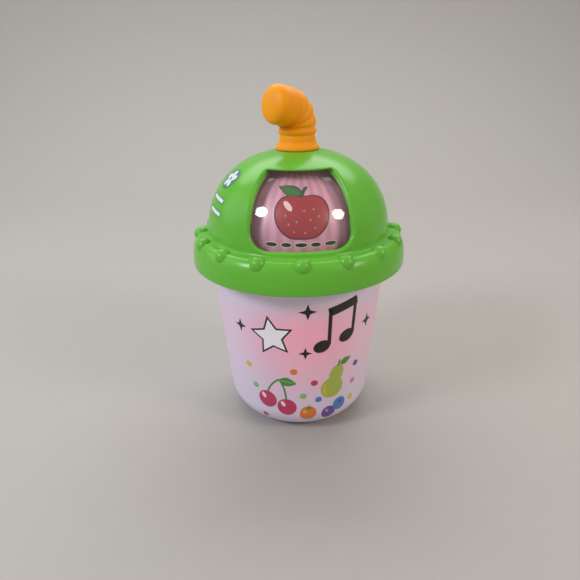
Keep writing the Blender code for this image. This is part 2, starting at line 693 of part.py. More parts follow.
def power_switch():
    x, y = switch_place()
    low = BASE_TOP + GAP
    prism("power_switch_body", rectangle(SWITCH_WIDTH / 2, SWITCH_LENGTH / 2, x, y), low, low + SWITCH_HEIGHT,
          plastic("switch_black", (0.04, 0.04, 0.04), 0.4))
    pad = rectangle(KNOB_WIDTH / 2, KNOB_LENGTH / 2)
    orange = plastic("knob_orange", (0.85, 0.30, 0.02), 0.4)
    knob = prism("power_switch_knob", pad, GAP, GAP + KNOB_PAD, orange)
    stem = rectangle(KNOB_STEM_WIDTH / 2, KNOB_STEM_WIDTH / 2)
    stem_tool = prism("knob_stem", stem, GAP + KNOB_PAD / 2, BASE_TOP)
    stem_tool.parent = knob
    join(knob, stem_tool)
    knob.location = (x, y - SWITCH_TRAVEL / 2, 0)


# Circuit board

def circuit_board():
    board = turned("circuit_board", [(0, BOARD_TOP), (BOARD_RADIUS, BOARD_TOP), (BOARD_RADIUS, BOARD_BOTTOM),
                                     (0, BOARD_BOTTOM)],
                   plastic("board_green", (0.03, 0.20, 0.08), 0.4), MEDIUM_ROUND)
    low, high = BOARD_BOTTOM - OVERRUN, BOARD_TOP + OVERRUN
    cut(board, cylinders("board_post_holes", post_places(), POST_RADIUS + BOARD_POST_CLEARANCE, low, high))
    cut(board, cylinders("board_screw_holes", board_screw_places(), SCREW_HOLE_RADIUS, low, high))
    for number, (x, y) in enumerate(board_screw_places(), 1):
        name = "board_screw_" + str(number)
        screw(name, BOARD_SCREW_LENGTH, x, y, ON_BOARD + SCREW_HEAD_HEIGHT, steel(name), points_up=False)


def led(name, azimuth):
    flange_radius = LED_RADIUS + LED_FLANGE
    outline = [(0, 0), (flange_radius, 0), (flange_radius, LED_FLANGE_HEIGHT),
               (LED_RADIUS, LED_FLANGE_HEIGHT)]
    for step in range(LED_STEPS):
        turn = pi / 2 * step / LED_STEPS
        outline.append((LED_RADIUS * cos(turn), LED_BODY_HEIGHT + LED_RADIUS * sin(turn)))
    outline.append((0, LED_BODY_HEIGHT + LED_RADIUS))
    lamp = turned(name, outline, plastic(name, (0.95, 0.35, 0.55), 0.15, transmission=0.5), SMALL_ROUND)
    x, y = around(BOARD_RADIUS - flange_radius - LED_EDGE_MARGIN, azimuth)
    lamp.location = (x, y, ON_BOARD)


def board_parts():
    for name, azimuth in (("led_front", 0), ("led_right", 100), ("led_back", 180), ("led_left", -100)):
        led(name, azimuth)
    shoulder = (CHIP_RADIUS * CHIP_TOP_SHARE, CHIP_HEIGHT * CHIP_SIDE_SHARE)
    chip = turned("sound_chip", [(0, 0), (CHIP_RADIUS, 0), shoulder, (0, CHIP_HEIGHT)],
                  plastic("chip_black", (0.02, 0.02, 0.02), 0.4), SMALL_ROUND)
    chip.location = (-CHIP_RADIUS - CAPACITOR_RADIUS, SPEAKER_Y, ON_BOARD)
    capacitor = turned("capacitor", [(0, 0), (CAPACITOR_RADIUS, 0), (CAPACITOR_RADIUS, CAPACITOR_HEIGHT),
                                     (0, CAPACITOR_HEIGHT)],
                       plastic("capacitor_blue", (0.04, 0.08, 0.25), 0.35), SMALL_ROUND)
    capacitor.location = (CAPACITOR_RADIUS + GAP, SPEAKER_Y, ON_BOARD)


# Inner frame and clicker

def lid_screw_places():
    azimuths = [LID_SCREW_FIRST_AZIMUTH + 360 * number / LID_SCREW_COUNT for number in range(LID_SCREW_COUNT)]
    return [around(LID_SCREW_CIRCLE, azimuth) for azimuth in azimuths]


def arm_block_place():
    """Middle of the detent arm's screwed block."""
    x = -(WHEEL_RADIUS + ARM_NUB_HALF_WIDTH + ARM_BLOCK / 2)
    return (x, ARM_REACH)


def turn_switch_front():
    """Where the turn switch's case begins, outside the wheel."""
    return WHEEL_RADIUS + GAP + TURN_SWITCH_NUB


def inner_frame():
    deck_radius = LID_SCREW_CIRCLE + DECK_EDGE_MARGIN
    frame = turned("inner_frame", [(DECK_HOLE_RADIUS, DECK_TOP), (deck_radius, DECK_TOP),
                                   (deck_radius, DECK_BOTTOM), (DECK_HOLE_RADIUS, DECK_BOTTOM)],
                   plastic("frame_white", (0.82, 0.82, 0.82), 0.5))
    post_low = BASE_TOP + GAP
    join(frame, cylinders("frame_posts", post_places(), POST_RADIUS, post_low, DECK_TOP - DECK_THICKNESS / 2))
    cut(frame, cylinders("post_pilots", post_places(), SCREW_HOLE_RADIUS, post_low - OVERRUN,
                         post_low + BASE_SCREW_LENGTH))
    cut(frame, cylinders("deck_screw_holes", lid_screw_places(), SCREW_HOLE_RADIUS, DECK_BOTTOM - OVERRUN,
                         DECK_TOP + OVERRUN))
    cut(frame, cylinders("arm_screw_hole", [arm_block_place()], SCREW_HOLE_RADIUS, DECK_BOTTOM - OVERRUN,
                         DECK_TOP + OVERRUN))
    wires = [(turn_switch_front() + TURN_SWITCH_LENGTH / 2, 0)]
    cut(frame, cylinders("deck_wire_hole", wires, DECK_WIRE_HOLE_RADIUS, DECK_BOTTOM - OVERRUN,
                         DECK_TOP + OVERRUN))
    return frame


def deck_bush():
    inner = SHAFT_RADIUS + GAP
    outer = inner + DECK_BUSH_WALL
    flange = DECK_HOLE_RADIUS + DECK_BUSH_LAP
    top = MECHANISM_BOTTOM + DECK_BUSH_FLANGE
    turned("deck_bush", [(inner, top), (flange, top), (flange, MECHANISM_BOTTOM), (outer, MECHANISM_BOTTOM),
                         (outer, DECK_BOTTOM), (inner, DECK_BOTTOM)],
           plastic("bush_natural", (0.90, 0.88, 0.80), 0.3), MEDIUM_ROUND)


def wheel_outline():
    """The wheel's rim with a V notch for each picture, the first one towards -X."""
    half = radians(WHEEL_NOTCH_ANGLE)
    step = 2 * pi / WHEEL_NOTCH_COUNT
    bottom = WHEEL_RADIUS - WHEEL_NOTCH_DEPTH
    outline = []
    for number in range(WHEEL_NOTCH_COUNT):
        middle = pi + step * number
        outline += [(WHEEL_RADIUS * cos(middle - half), WHEEL_RADIUS * sin(middle - half)),
                    (bottom * cos(middle), bottom * sin(middle))]
        for part in range(WHEEL_STEPS):
            turn = middle + half + (step - 2 * half) * part / WHEEL_STEPS
            outline.append((WHEEL_RADIUS * cos(turn), WHEEL_RADIUS * sin(turn)))
    return outline


def detent_wheel():
    low = MECHANISM_BOTTOM + DECK_BUSH_FLANGE + GAP
    high = low + WHEEL_THICKNESS
    white = plastic("wheel_white", (0.88, 0.87, 0.82), 0.35)
    wheel = prism("detent_wheel", wheel_outline(), low, high, white)
    bore = SHAFT_RADIUS + GAP
    cut(wheel, cylinders("wheel_bore", [(0, 0)], bore, low - OVERRUN, high + OVERRUN, MEDIUM_ROUND))
    return wheel


def detent_arm():
    """A springy moulded arm whose nub drops into the wheel's notches."""
    x, y = arm_block_place()
    near = x + ARM_BLOCK / 2
    tip = -(WHEEL_RADIUS - WHEEL_NOTCH_DEPTH + GAP)
    far = near - ARM_THICKNESS
    nub = ARM_NUB_HALF_WIDTH
    back, front, outer = y + ARM_BLOCK / 2, y - ARM_BLOCK / 2, x - ARM_BLOCK / 2
    outline = [(near, back), (outer, back), (outer, front), (far, front), (far, -ARM_TAIL), (near, -ARM_TAIL),
               (near, -nub), (tip, 0), (near, nub)]
    arm = prism("detent_arm", outline, MECHANISM_BOTTOM, MECHANISM_BOTTOM + ARM_HEIGHT,
                plastic("arm_natural", (0.90, 0.88, 0.80), 0.3))
    cut(arm, cylinders("arm_hole", [(x, y)], SCREW_HOLE_RADIUS, DECK_TOP, DECK_TOP + ARM_HEIGHT + OVERRUN))
    head = MECHANISM_BOTTOM + ARM_HEIGHT + GAP + SCREW_HEAD_HEIGHT
    screw("detent_arm_screw", ARM_SCREW_LENGTH, x, y, head, steel("arm_screw_steel"), points_up=False)


def turn_switch():
    near = turn_switch_front()
    tip = WHEEL_RADIUS + GAP
    half, nub = TURN_SWITCH_WIDTH / 2, TURN_SWITCH_NUB_WIDTH / 2
    outline = [(tip, -nub / 2), (near, -nub), (near, -half), (near + TURN_SWITCH_LENGTH, -half),
               (near + TURN_SWITCH_LENGTH, half), (near, half), (near, nub), (tip, nub / 2)]
    prism("turn_switch", outline, MECHANISM_BOTTOM, MECHANISM_BOTTOM + ARM_HEIGHT,
          plastic("turn_switch_black", (0.04, 0.04, 0.04), 0.4))


# Cup

def cup_shell():
    opening = BASE_RADIUS + GAP
    lip = SPIGOT_RADIUS + GAP
    lip_bottom = BASE_DISC + GAP
    floor_top = lip_bottom + CUP_FLOOR
    outside = cup_corner(0, corner_angle_at_radius(0, opening))
    inside = cup_corner(CUP_WALL, corner_angle_at_height(CUP_WALL, floor_top))
    outline = [(cup_radius(CUP_RIM, CUP_WALL), CUP_RIM), (cup_radius(CUP_RIM), CUP_RIM)] + outside[::-1]
    outline += [(opening, lip_bottom), (lip, lip_bottom), (lip, floor_top)] + inside
    turned("cup_shell", outline, plastic("frosted_white", (0.86, 0.80, 0.84), 0.5, transmission=0.3))


# Lid

def lid_outline():
    top_hole = STRAW_SPIGOT_RADIUS + GAP + BUSH_WALL + GAP
    outside = [(BRIM_RADIUS - BRIM_EDGE_ROUNDING, LID_BOTTOM), (BRIM_RADIUS, LID_BOTTOM + BRIM_EDGE_ROUNDING)]
    outside += brim_arc(0) + [(DOME_RADIUS + CREASE_WIDTH, BRIM_TOP + CREASE_WIDTH)]
    outside += dome_arc(0, top_hole, DOME_STEPS)
    inside = dome_arc(LID_WALL, top_hole, INNER_DOME_STEPS)[::-1]
    inside += [(DOME_RADIUS - LID_WALL, BRIM_TOP - LID_WALL)] + brim_arc(LID_WALL, INNER_BRIM_STEPS)[::-1]
    inside += [(BRIM_RADIUS - LID_WALL, LID_BOTTOM)]
    return (outside + inside)[::-1]


def window_edges(azimuth):
    """Heights of the window's lower and upper edge at an azimuth, with its rounded corners."""
    edges = []
    for height, corner, way in ((WINDOW_BOTTOM, WINDOW_LOW_CORNER, 1), (WINDOW_TOP, WINDOW_HIGH_CORNER, -1)):
        turn = degrees(corner / dome_radius(height))
        into = max(0, abs(azimuth) - (WINDOW_HALF_ANGLE - turn)) / turn
        edges.append(height + way * corner * (1 - sqrt(max(0, 1 - into ** 2))))
    return edges


def window_cutter():
    """A wedge through the dome, from near its axis to beyond its wall."""
    solid = bmesh.new()
    columns = []
    for number in range(-WINDOW_COLUMNS, WINDOW_COLUMNS + 1):
        azimuth = WINDOW_HALF_ANGLE * sin(pi / 2 * number / WINDOW_COLUMNS)
        low, high = window_edges(azimuth)
        near = around(HUB_RADIUS, azimuth)
        far = around(BRIM_RADIUS + OVERRUN, azimuth)
        corners = ((*near, low), (*far, low), (*far, high), (*near, high))
        columns.append([solid.verts.new(corner) for corner in corners])
    for first, second in zip(columns, columns[1:]):
        for number in range(4):
            after = (number + 1) % 4
            solid.faces.new((first[number], first[after], second[after], second[number]))
    solid.faces.new(columns[0])
    solid.faces.new(columns[-1][::-1])
    return add_piece("window_cutter", solid)


def bumps():
    """Round bumps set square into the brim's shoulder, one in front of the window."""
    rise = BRIM_TOP - BRIM_WIDEST
    turn = acos(BUMP_REACH_SHARE)
    height = BRIM_WIDEST + rise * sin(turn)
    lean = atan((cos(turn) / BRIM_SWELL) / (sin(turn) / rise))
    solid = bmesh.new()
    for number in range(BUMP_COUNT):
        azimuth = 360 * number / BUMP_COUNT
        x, y = around(BUMP_CIRCLE_RADIUS, azimuth)
        stand = Matrix.Translation((x, y, height)) @ Matrix.Rotation(radians(azimuth), 4, 'Z')
        stand = stand @ Matrix.Rotation(lean, 4, 'X')
        add_bump(solid, stand)
    return add_piece("bumps", solid)


def add_bump(solid, stand):
    """One dome of rings with a short root, in the frame that stand gives."""
    rings = [(BUMP_RADIUS, -BUMP_ROOT)]
    for step in range(BUMP_RINGS):
        turn = pi / 2 * step / BUMP_RINGS
        rings.append((BUMP_RADIUS * cos(turn), BUMP_HEIGHT * sin(turn)))
    loops = []
    for radius, height in rings:
        loop = []
        for side in range(BUMP_SIDES):
            angle = 2 * pi * side / BUMP_SIDES
            loop.append(solid.verts.new(stand @ Vector((radius * cos(angle), radius * sin(angle), height))))
        loops.append(loop)
    for low, high in zip(loops, loops[1:]):
        for side in range(BUMP_SIDES):
            after = (side + 1) % BUMP_SIDES
            solid.faces.new((low[side], low[after], high[after], high[side]))
    crown = solid.verts.new(stand @ Vector((0, 0, BUMP_HEIGHT)))
    for side in range(BUMP_SIDES):
        solid.faces.new((loops[-1][side], loops[-1][(side + 1) % BUMP_SIDES], crown))
    solid.faces.new(loops[0][::-1])


def lid_shell():
    lid = turned("lid_shell", lid_outline(), plastic("lid_green", (0.13, 0.40, 0.05), 0.25))
    join(lid, bumps())
    boss_low = DECK_TOP + GAP
    boss_high = BRIM_TOP - LID_WALL / 2
    join(lid, cylinders("lid_bosses", lid_screw_places(), LID_BOSS_RADIUS, boss_low, boss_high))
    cut(lid, cylinders("lid_pilots", lid_screw_places(), SCREW_HOLE_RADIUS, boss_low - OVERRUN,
                       BRIM_TOP - LID_WALL))
    cut(lid, window_cutter())
    return lid


def window_lens():
    """A clear curved pane behind the opening, lapping the lid's inner face."""
    lap_turn = degrees(LENS_LAP / dome_radius(WINDOW_TOP))
    side = WINDOW_HALF_ANGLE + lap_turn
    low, high = WINDOW_BOTTOM - LENS_LAP, WINDOW_TOP + LENS_LAP / 2
    solid = bmesh.new()
    layers = []
    for inset in (LID_WALL + LENS_GAP, LID_WALL + LENS_GAP + LENS_THICKNESS):
        top_radius = dome_radius(min(high, DOME_BASE + DOME_RISE - inset - LENS_LAP), inset)
        profile = [(DOME_RADIUS - inset, low)] + dome_arc(inset, top_radius, LENS_ROWS)
        grid = []
        for radius, height in profile:
            line = []
            for column in range(LENS_COLUMNS + 1):
                x, y = around(radius, -side + 2 * side * column / LENS_COLUMNS)
                line.append(solid.verts.new((x, y, height)))
            grid.append(line)
        layers.append(grid)
    outer, inner = layers
    for grid in layers:
        for low_line, high_line in zip(grid, grid[1:]):
            for column in range(LENS_COLUMNS):
                after = column + 1
                solid.faces.new((low_line[column], low_line[after], high_line[after], high_line[column]))
    edge_outer = edge_loop(outer)
    edge_inner = edge_loop(inner)
    for number in range(len(edge_outer)):
        after = (number + 1) % len(edge_outer)
        solid.faces.new((edge_outer[number], edge_outer[after], edge_inner[after], edge_inner[number]))
    return add_piece("window_lens", solid, plastic("lens_clear", (0.95, 0.97, 0.97), 0.03, transmission=1))


def edge_loop(grid):
    """The corners round a grid's edge, in order."""
    loop = list(grid[0])
    loop += [line[-1] for line in grid[1:]]
    loop += grid[-1][-2::-1]
    loop += [line[0] for line in grid[-2:0:-1]]
    return loop


def brim_ring():
    """Closes the brim from below. Its sleeves press the deck up against the lid."""
    low = LID_BOTTOM + GAP
    top = low + RING_THICKNESS
    inner = cup_radius(top) + GAP
    outer = BRIM_RADIUS - LID_WALL - GAP
    ring = turned("brim_ring", [(inner, top), (outer, top), (outer, low), (inner, low)],
                  plastic("ring_green", (0.13, 0.40, 0.05), 0.3))
    join(ring, cylinders("ring_sleeves", lid_screw_places(), LID_BOSS_RADIUS, low + RING_THICKNESS / 2,
                         DECK_BOTTOM - GAP))
    cut(ring, cylinders("ring_holes", lid_screw_places(), SCREW_HOLE_RADIUS, low - OVERRUN, DECK_TOP))
    cut(ring, cylinders("ring_sinks", lid_screw_places(), COUNTERBORE_RADIUS, low - OVERRUN,
                        top + SCREW_HEAD_HEIGHT / 2))
    for number, (x, y) in enumerate(lid_screw_places(), 1):
        name = "lid_screw_" + str(number)
        screw(name, LID_SCREW_LENGTH, x, y, top - SCREW_HEAD_HEIGHT / 2 - GAP, steel(name))


# Turning pieces

def picture_drum():
    hub_top = dome_height(0, DRUM_WALL_INSET)
    hub_bottom = hub_top - HUB_THICKNESS
    outside = [(DOME_RADIUS - DRUM_WALL_INSET, DRUM_BOTTOM)]
    outside += dome_arc(DRUM_WALL_INSET, HUB_RADIUS, DRUM_STEPS)
    inset = DRUM_WALL_INSET + DRUM_WALL
    hub_wall = dome_radius(hub_bottom, inset) if hub_bottom > dome_height(HUB_RADIUS, inset) else HUB_RADIUS
    inside = [(DOME_RADIUS - inset, DRUM_BOTTOM)] + dome_arc(inset, hub_wall, INNER_DRUM_STEPS)
    outline = outside + [(HUB_RADIUS, hub_top), (SCREW_HOLE_RADIUS, hub_top), (SCREW_HOLE_RADIUS, hub_bottom),
                         (HUB_RADIUS, hub_bottom)] + inside[::-1]
    turned("picture_drum", outline[::-1], plastic("drum_white", (0.85, 0.84, 0.82), 0.5), DRUM_ROUND)
    outside = [(DOME_RADIUS - DRUM_INSET, DRUM_BOTTOM)] + dome_arc(DRUM_INSET, SLEEVE_TOP_RADIUS, DRUM_STEPS)
    inset = DRUM_INSET + SLEEVE_THICKNESS
    inside = [(DOME_RADIUS - inset, DRUM_BOTTOM)] + dome_arc(inset, SLEEVE_TOP_RADIUS, DRUM_STEPS)
    turned("picture_sleeve", (outside + inside[::-1])[::-1], plastic("picture_pink", (0.45, 0.22, 0.28), 0.4),
           DRUM_ROUND)


def drum_shaft():
    top = dome_height(0, DRUM_WALL_INSET) - HUB_THICKNESS - GAP
    floor = top - SHAFT_FLOOR
    tail = DECK_BOTTOM - SHAFT_TAIL
    under = top - SHAFT_FLANGE
    turned("drum_shaft", [(SCREW_HOLE_RADIUS, top), (SHAFT_FLANGE_RADIUS, top), (SHAFT_FLANGE_RADIUS, under),
                          (SHAFT_RADIUS, under), (SHAFT_RADIUS, tail), (SHAFT_BORE_RADIUS, tail),
                          (SHAFT_BORE_RADIUS, floor), (SCREW_HOLE_RADIUS, floor)],
           plastic("shaft_white", (0.85, 0.85, 0.83), 0.4), MEDIUM_ROUND)
    head_bottom = floor - GAP - SCREW_HEAD_HEIGHT
    screw("straw_screw", STRAW_SCREW_LENGTH, 0, 0, head_bottom, steel("straw_screw_steel"))


def straw_base():
    """Height of the collar's lower rim, just clear of the dome."""
    return dome_height(STRAW_COLLAR_RADIUS) + GAP


def bush_flange_top():
    hole = STRAW_SPIGOT_RADIUS + GAP + BUSH_WALL + GAP
    return dome_height(hole) + GAP + BUSH_FLANGE


def straw_bush():
    inner = STRAW_SPIGOT_RADIUS + GAP
    outer = inner + BUSH_WALL
    flange = outer + BUSH_FLANGE_LAP
    top = bush_flange_top()
    low = dome_height(outer, LID_WALL)
    outline = [(inner, top), (flange, top), (flange, top - BUSH_FLANGE), (outer, top - BUSH_FLANGE),
               (outer, low), (inner, low)]
    turned("straw_bush", outline, plastic("straw_bush_natural", (0.90, 0.88, 0.80), 0.3), MEDIUM_ROUND)


def straw_frame(along):
    """Middle and direction of the straw at a distance along it from the collar's rim."""
    x, y = around(1, STRAW_AZIMUTH)
    ahead = Vector((x, y, 0))
    up = Vector((0, 0, 1))
    start = up * straw_base()
    if along <= STRAW_UPRIGHT:
        return start + up * along, up
    turn = min((along - STRAW_UPRIGHT) / STRAW_BEND_RADIUS, radians(STRAW_BEND_ANGLE))
    centre = start + up * (STRAW_UPRIGHT + STRAW_BEND_RADIUS * sin(turn))
    centre += ahead * STRAW_BEND_RADIUS * (1 - cos(turn))
    direction = up * cos(turn) + ahead * sin(turn)
    rest = along - STRAW_UPRIGHT - STRAW_BEND_RADIUS * turn
    return centre + direction * rest, direction


def straw_length():
    return STRAW_UPRIGHT + STRAW_BEND_RADIUS * radians(STRAW_BEND_ANGLE) + STRAW_REACH


def straw_outside(along):
    """Outer radius of the straw, with the flared collar and the ribs."""
    valley = STRAW_RADIUS - STRAW_RIB
    rib_end = STRAW_RIB_START + STRAW_RIB_COUNT * STRAW_RIB_PITCH
    if along < STRAW_COLLAR_RIM:
        return STRAW_COLLAR_RADIUS
    if along < STRAW_COLLAR_HEIGHT:
        flare = (STRAW_COLLAR_HEIGHT - along) / (STRAW_COLLAR_HEIGHT - STRAW_COLLAR_RIM)
        return valley + (STRAW_COLLAR_RADIUS - valley) * flare
    if along < STRAW_RIB_START:
        return valley
    if along < rib_end:
        return STRAW_RADIUS - STRAW_RIB * cos(2 * pi * (along - STRAW_RIB_START) / STRAW_RIB_PITCH)
    return STRAW_RADIUS - (STRAW_RIB if along < rib_end + STRAW_END_ROUNDING else STRAW_RIB / 2)


def straw_body():
    length = straw_length()
    bore = STRAW_RADIUS - STRAW_RIB - STRAW_WALL
    drum_top = dome_height(0, DRUM_WALL_INSET) + GAP
    recess = bush_flange_top() + GAP
    flange = STRAW_SPIGOT_RADIUS + GAP + BUSH_WALL + BUSH_FLANGE_LAP + GAP
    base = straw_base()
    up = Vector((0, 0, 1))
    rings = [(up * drum_top, up, STRAW_SPIGOT_RADIUS), (up * recess, up, STRAW_SPIGOT_RADIUS),
             (up * recess, up, flange), (up * base, up, flange)]
    count = round(length / STRAW_RING_SPACING)
    for number in range(count + 1):
        along = length * number / count
        middle, direction = straw_frame(along)
        rings.append((middle, direction, straw_outside(along)))
    inside_count = round(length / (3 * STRAW_RING_SPACING))
    for number in range(inside_count, 0, -1):
        middle, direction = straw_frame(length * number / inside_count)
        rings.append((middle, direction, bore))
    floor = up * (drum_top + STRAW_FLOOR)
    inner_bore = min(bore, STRAW_SPIGOT_RADIUS - STRAW_WALL)
    rings += [(up * (recess + STRAW_WALL), up, inner_bore), (floor, up, inner_bore),
              (floor, up, SCREW_HOLE_RADIUS), (up * drum_top, up, SCREW_HOLE_RADIUS)]
    ring_solid("straw_body", rings, STRAW_SIDES, plastic("straw_orange", (0.70, 0.24, 0.01), 0.35))
    straw_end_cap(length, bore)


def straw_end_cap(length, bore):
    """A plug that closes the straw's end, a little crowned."""
    plug = bore - GAP
    rim = STRAW_RADIUS - STRAW_RIB / 2
    crown = STRAW_CAP_THICKNESS + STRAW_CAP_CROWN
    outline = [(0, crown), (rim / 2, STRAW_CAP_THICKNESS + STRAW_CAP_CROWN * STRAW_CAP_CROWN_SHARE),
               (rim - STRAW_END_ROUNDING, STRAW_CAP_THICKNESS),
               (rim, STRAW_CAP_THICKNESS - STRAW_END_ROUNDING),
               (rim, 0), (plug, 0), (plug, -STRAW_CAP_PLUG), (0, -STRAW_CAP_PLUG)]
    cap = turned("straw_end_cap", outline, plastic("cap_orange", (0.68, 0.28, 0.02), 0.35), STRAW_SIDES)
    middle, direction = straw_frame(length + GAP)
    turn = Vector((0, 0, 1)).rotation_difference(direction)
    cap.data.transform(Matrix.Translation(middle) @ turn.to_matrix().to_4x4())


# Wires

def wire(name, start, end, bow, colour):
    """An upright wire between two terminals, bowed a little to one side and straight at its ends."""
    points = []
    for step in range(WIRE_POINTS + 1):
        share = step / WIRE_POINTS
        ease = share * share * (3 - 2 * share)
        side = sin(pi * share) ** 2
        points.append((start[0] + (end[0] - start[0]) * ease + bow[0] * side,
                       start[1] + (end[1] - start[1]) * ease + bow[1] * side,
                       start[2] + (end[2] - start[2]) * share))
    tube(name, points, WIRE_RADIUS, plastic(name, colour, 0.45))


def wires():
    red, black, yellow = (0.60, 0.03, 0.02), (0.03, 0.03, 0.03), (0.80, 0.55, 0.05)
    under_board = BOARD_BOTTOM - GAP
    speaker_top = BASE_TOP + GAP + SPEAKER_FLANGE + SPEAKER_BASKET_DEPTH + GAP
    edge = SPEAKER_Y + (SPEAKER_MAGNET_RADIUS + SPEAKER_BASKET_RADIUS) / 2
    for name, side, colour in (("speaker_wire_red", -1, red), ("speaker_wire_black", 1, black)):
        x = side * WIRE_SPREAD
        wire(name, (x, edge, speaker_top), (x, edge, under_board), (0, WIRE_BOW), colour)
    x, y = switch_place()
    switch_top = BASE_TOP + GAP + SWITCH_HEIGHT + GAP
    for name, side, colour in (("switch_wire_red", -1, red), ("switch_wire_yellow", 1, yellow)):
        start = (x, y + side * WIRE_SPREAD, switch_top)
        wire(name, start, (x, y + side * WIRE_SPREAD, under_board), (WIRE_BOW, 0), colour)
    middle = turn_switch_front() + TURN_SWITCH_LENGTH / 2
    for name, side, colour in (("turn_wire_black", -1, black), ("turn_wire_yellow", 1, yellow)):
        start = (middle, side * WIRE_RADIUS * 2, ON_BOARD)
        wire(name, start, (middle, side * WIRE_RADIUS * 2, MECHANISM_BOTTOM - GAP), (-WIRE_BOW, 0), colour)


def build():
    for piece in list(bpy.data.objects):
        bpy.data.objects.remove(piece, do_unlink=True)
    cup_shell()
    base_plate()
    base_screws()
    battery_door()
    battery_box()
    batteries()
    speaker()
    power_switch()
    circuit_board()
    board_parts()
    inner_frame()
    deck_bush()
    detent_wheel()
    detent_arm()
    turn_switch()
    lid_shell()
    window_lens()
    brim_ring()
    picture_drum()
    drum_shaft()
    straw_bush()
    straw_body()
    wires()


build()
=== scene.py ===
"""Looks for a toy blender: a lit frosted cup, a green domed lid with a picture window
and a bent ribbed straw that turns the pictures.

Metres, +Z up, the window looks along -Y. Azimuths are in degrees from the front (-Y)
towards +X, as in the part's own source.
"""
from math import acos, asin, atan, cos, degrees, pi, radians, sin, sqrt

import bmesh
import bpy
from mathutils import Matrix, Vector


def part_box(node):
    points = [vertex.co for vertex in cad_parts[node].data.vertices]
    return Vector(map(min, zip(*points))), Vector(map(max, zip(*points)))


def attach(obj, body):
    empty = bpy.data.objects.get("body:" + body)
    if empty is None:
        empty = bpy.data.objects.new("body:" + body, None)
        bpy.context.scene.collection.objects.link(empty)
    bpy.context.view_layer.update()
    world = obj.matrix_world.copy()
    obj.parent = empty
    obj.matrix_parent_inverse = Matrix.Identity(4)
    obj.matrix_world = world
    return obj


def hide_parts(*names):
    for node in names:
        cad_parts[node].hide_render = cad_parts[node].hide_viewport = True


bl_info = {
    "name": "Toy Blender Cup",
    "version": (1, 0, 0),
    "blender": (4, 5, 0),
    "location": "View3D > Sidebar > Toy Blender",
    "description": "Models a light-up smoothie cup toy round its packed frame",
    "category": "Add Mesh",
}

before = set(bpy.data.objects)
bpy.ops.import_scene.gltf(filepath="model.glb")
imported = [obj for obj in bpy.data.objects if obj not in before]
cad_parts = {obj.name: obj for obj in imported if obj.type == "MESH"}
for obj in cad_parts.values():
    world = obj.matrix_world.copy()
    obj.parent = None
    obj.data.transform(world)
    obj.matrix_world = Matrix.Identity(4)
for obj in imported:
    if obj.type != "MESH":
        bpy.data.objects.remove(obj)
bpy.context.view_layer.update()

MM = 0.001
MERGE = 0.000002
LATHE_SIDES = 144
FINE_SIDES = 64
SMOOTH_ANGLE = radians(34)

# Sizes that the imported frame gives
LID_LOW, LID_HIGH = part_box("lid_shell")
BRIM_RADIUS = LID_HIGH.x
LID_BOTTOM = LID_LOW.z
STRAW_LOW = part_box("straw_body")[0].z
CUP_LOW, CUP_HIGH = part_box("cup_shell")
LENS_LOW, LENS_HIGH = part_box("window_lens")

# The lid's outline, as measured from the photograph
LID_WALL = 2.4 * MM
BRIM_WIDEST = LID_BOTTOM + 2.7 * MM
BRIM_TOP = LID_BOTTOM + 13.9 * MM
BRIM_SHOULDER = BRIM_RADIUS - 5.0 * MM
BRIM_EDGE = 0.6 * MM
CREASE = 1.6 * MM
DOME_BASE = BRIM_TOP + CREASE
DOME_RADIUS = BRIM_SHOULDER - 3.65 * MM
DOME_RISE = 38.1 * MM
DOME_POWER = 2.15
DOME_HOLE = 7.9 * MM
BUMP_COUNT = 16
BUMP_REACH_SHARE = 0.32

# The window
WINDOW_HALF_ANGLE = 31.7
WINDOW_BOTTOM = DOME_BASE + 0.7 * MM
WINDOW_TOP = DOME_BASE + 31.5 * MM
LENS_INSET = LID_WALL + 0.6 * MM
LENS_HALF_ANGLE = 36
REBATE_INSET = 1.2 * MM
REBATE_LAP = 1.7 * MM
SLEEVE_INSET = 7.0 * MM

# The cup
CUP_FOOT_RADIUS = 37.0 * MM
CUP_LEAN_SHARE = 6.8 / 85.1
CUP_CORNER = 15.0 * MM
CUP_WALL = 2.0 * MM

# The straw, along its own middle line
STRAW_AZIMUTH = -50
STRAW_RADIUS = 8.55 * MM
STRAW_BEND_RADIUS = 9.3 * MM
STRAW_BEND_ANGLE = 79
STRAW_UPRIGHT = 9.8 * MM
STRAW_REACH = 6.8 * MM
STRAW_RIB_START = 6.2 * MM
STRAW_RIB_COUNT = 4
COLLAR_RADIUS = 10.2 * MM
COLLAR_HEIGHT = 3.6 * MM
COLLAR_RIM = 1.0 * MM
STRAW_END_ROUNDING = 2.4 * MM
STRAW_CAP_REACH = 2.2 * MM


class ToyBlenderSizes(bpy.types.PropertyGroup):
    """Sizes that a user would change."""
    bump_radius: bpy.props.FloatProperty(
        name="Bump radius", description="Radius of the round bumps on the brim", default=3.35 * MM, unit='LENGTH')
    bump_height: bpy.props.FloatProperty(
        name="Bump height", description="How far a bump stands off the brim", default=2.1 * MM, unit='LENGTH')
    window_low_corner: bpy.props.FloatProperty(
        name="Window low corner", description="Radius of the window's two lower corners", default=8.8 * MM,
        unit='LENGTH')
    window_high_corner: bpy.props.FloatProperty(
        name="Window high corner", description="Radius of the window's two upper corners", default=1.5 * MM,
        unit='LENGTH')
    window_lip: bpy.props.FloatProperty(
        name="Window lip", description="Rounding of the window's outer edge", default=1.1 * MM, unit='LENGTH')
    lens_thickness: bpy.props.FloatProperty(
        name="Lens thickness", description="Thickness of the clear pane", default=1.2 * MM, unit='LENGTH')
    straw_rib: bpy.props.FloatProperty(
        name="Straw rib", description="Height of a rib over the straw's middle radius", default=0.38 * MM,
        unit='LENGTH')
    straw_pitch: bpy.props.FloatProperty(
        name="Straw rib spacing", description="Distance between two ribs of the straw", default=3.55 * MM,
        unit='LENGTH')


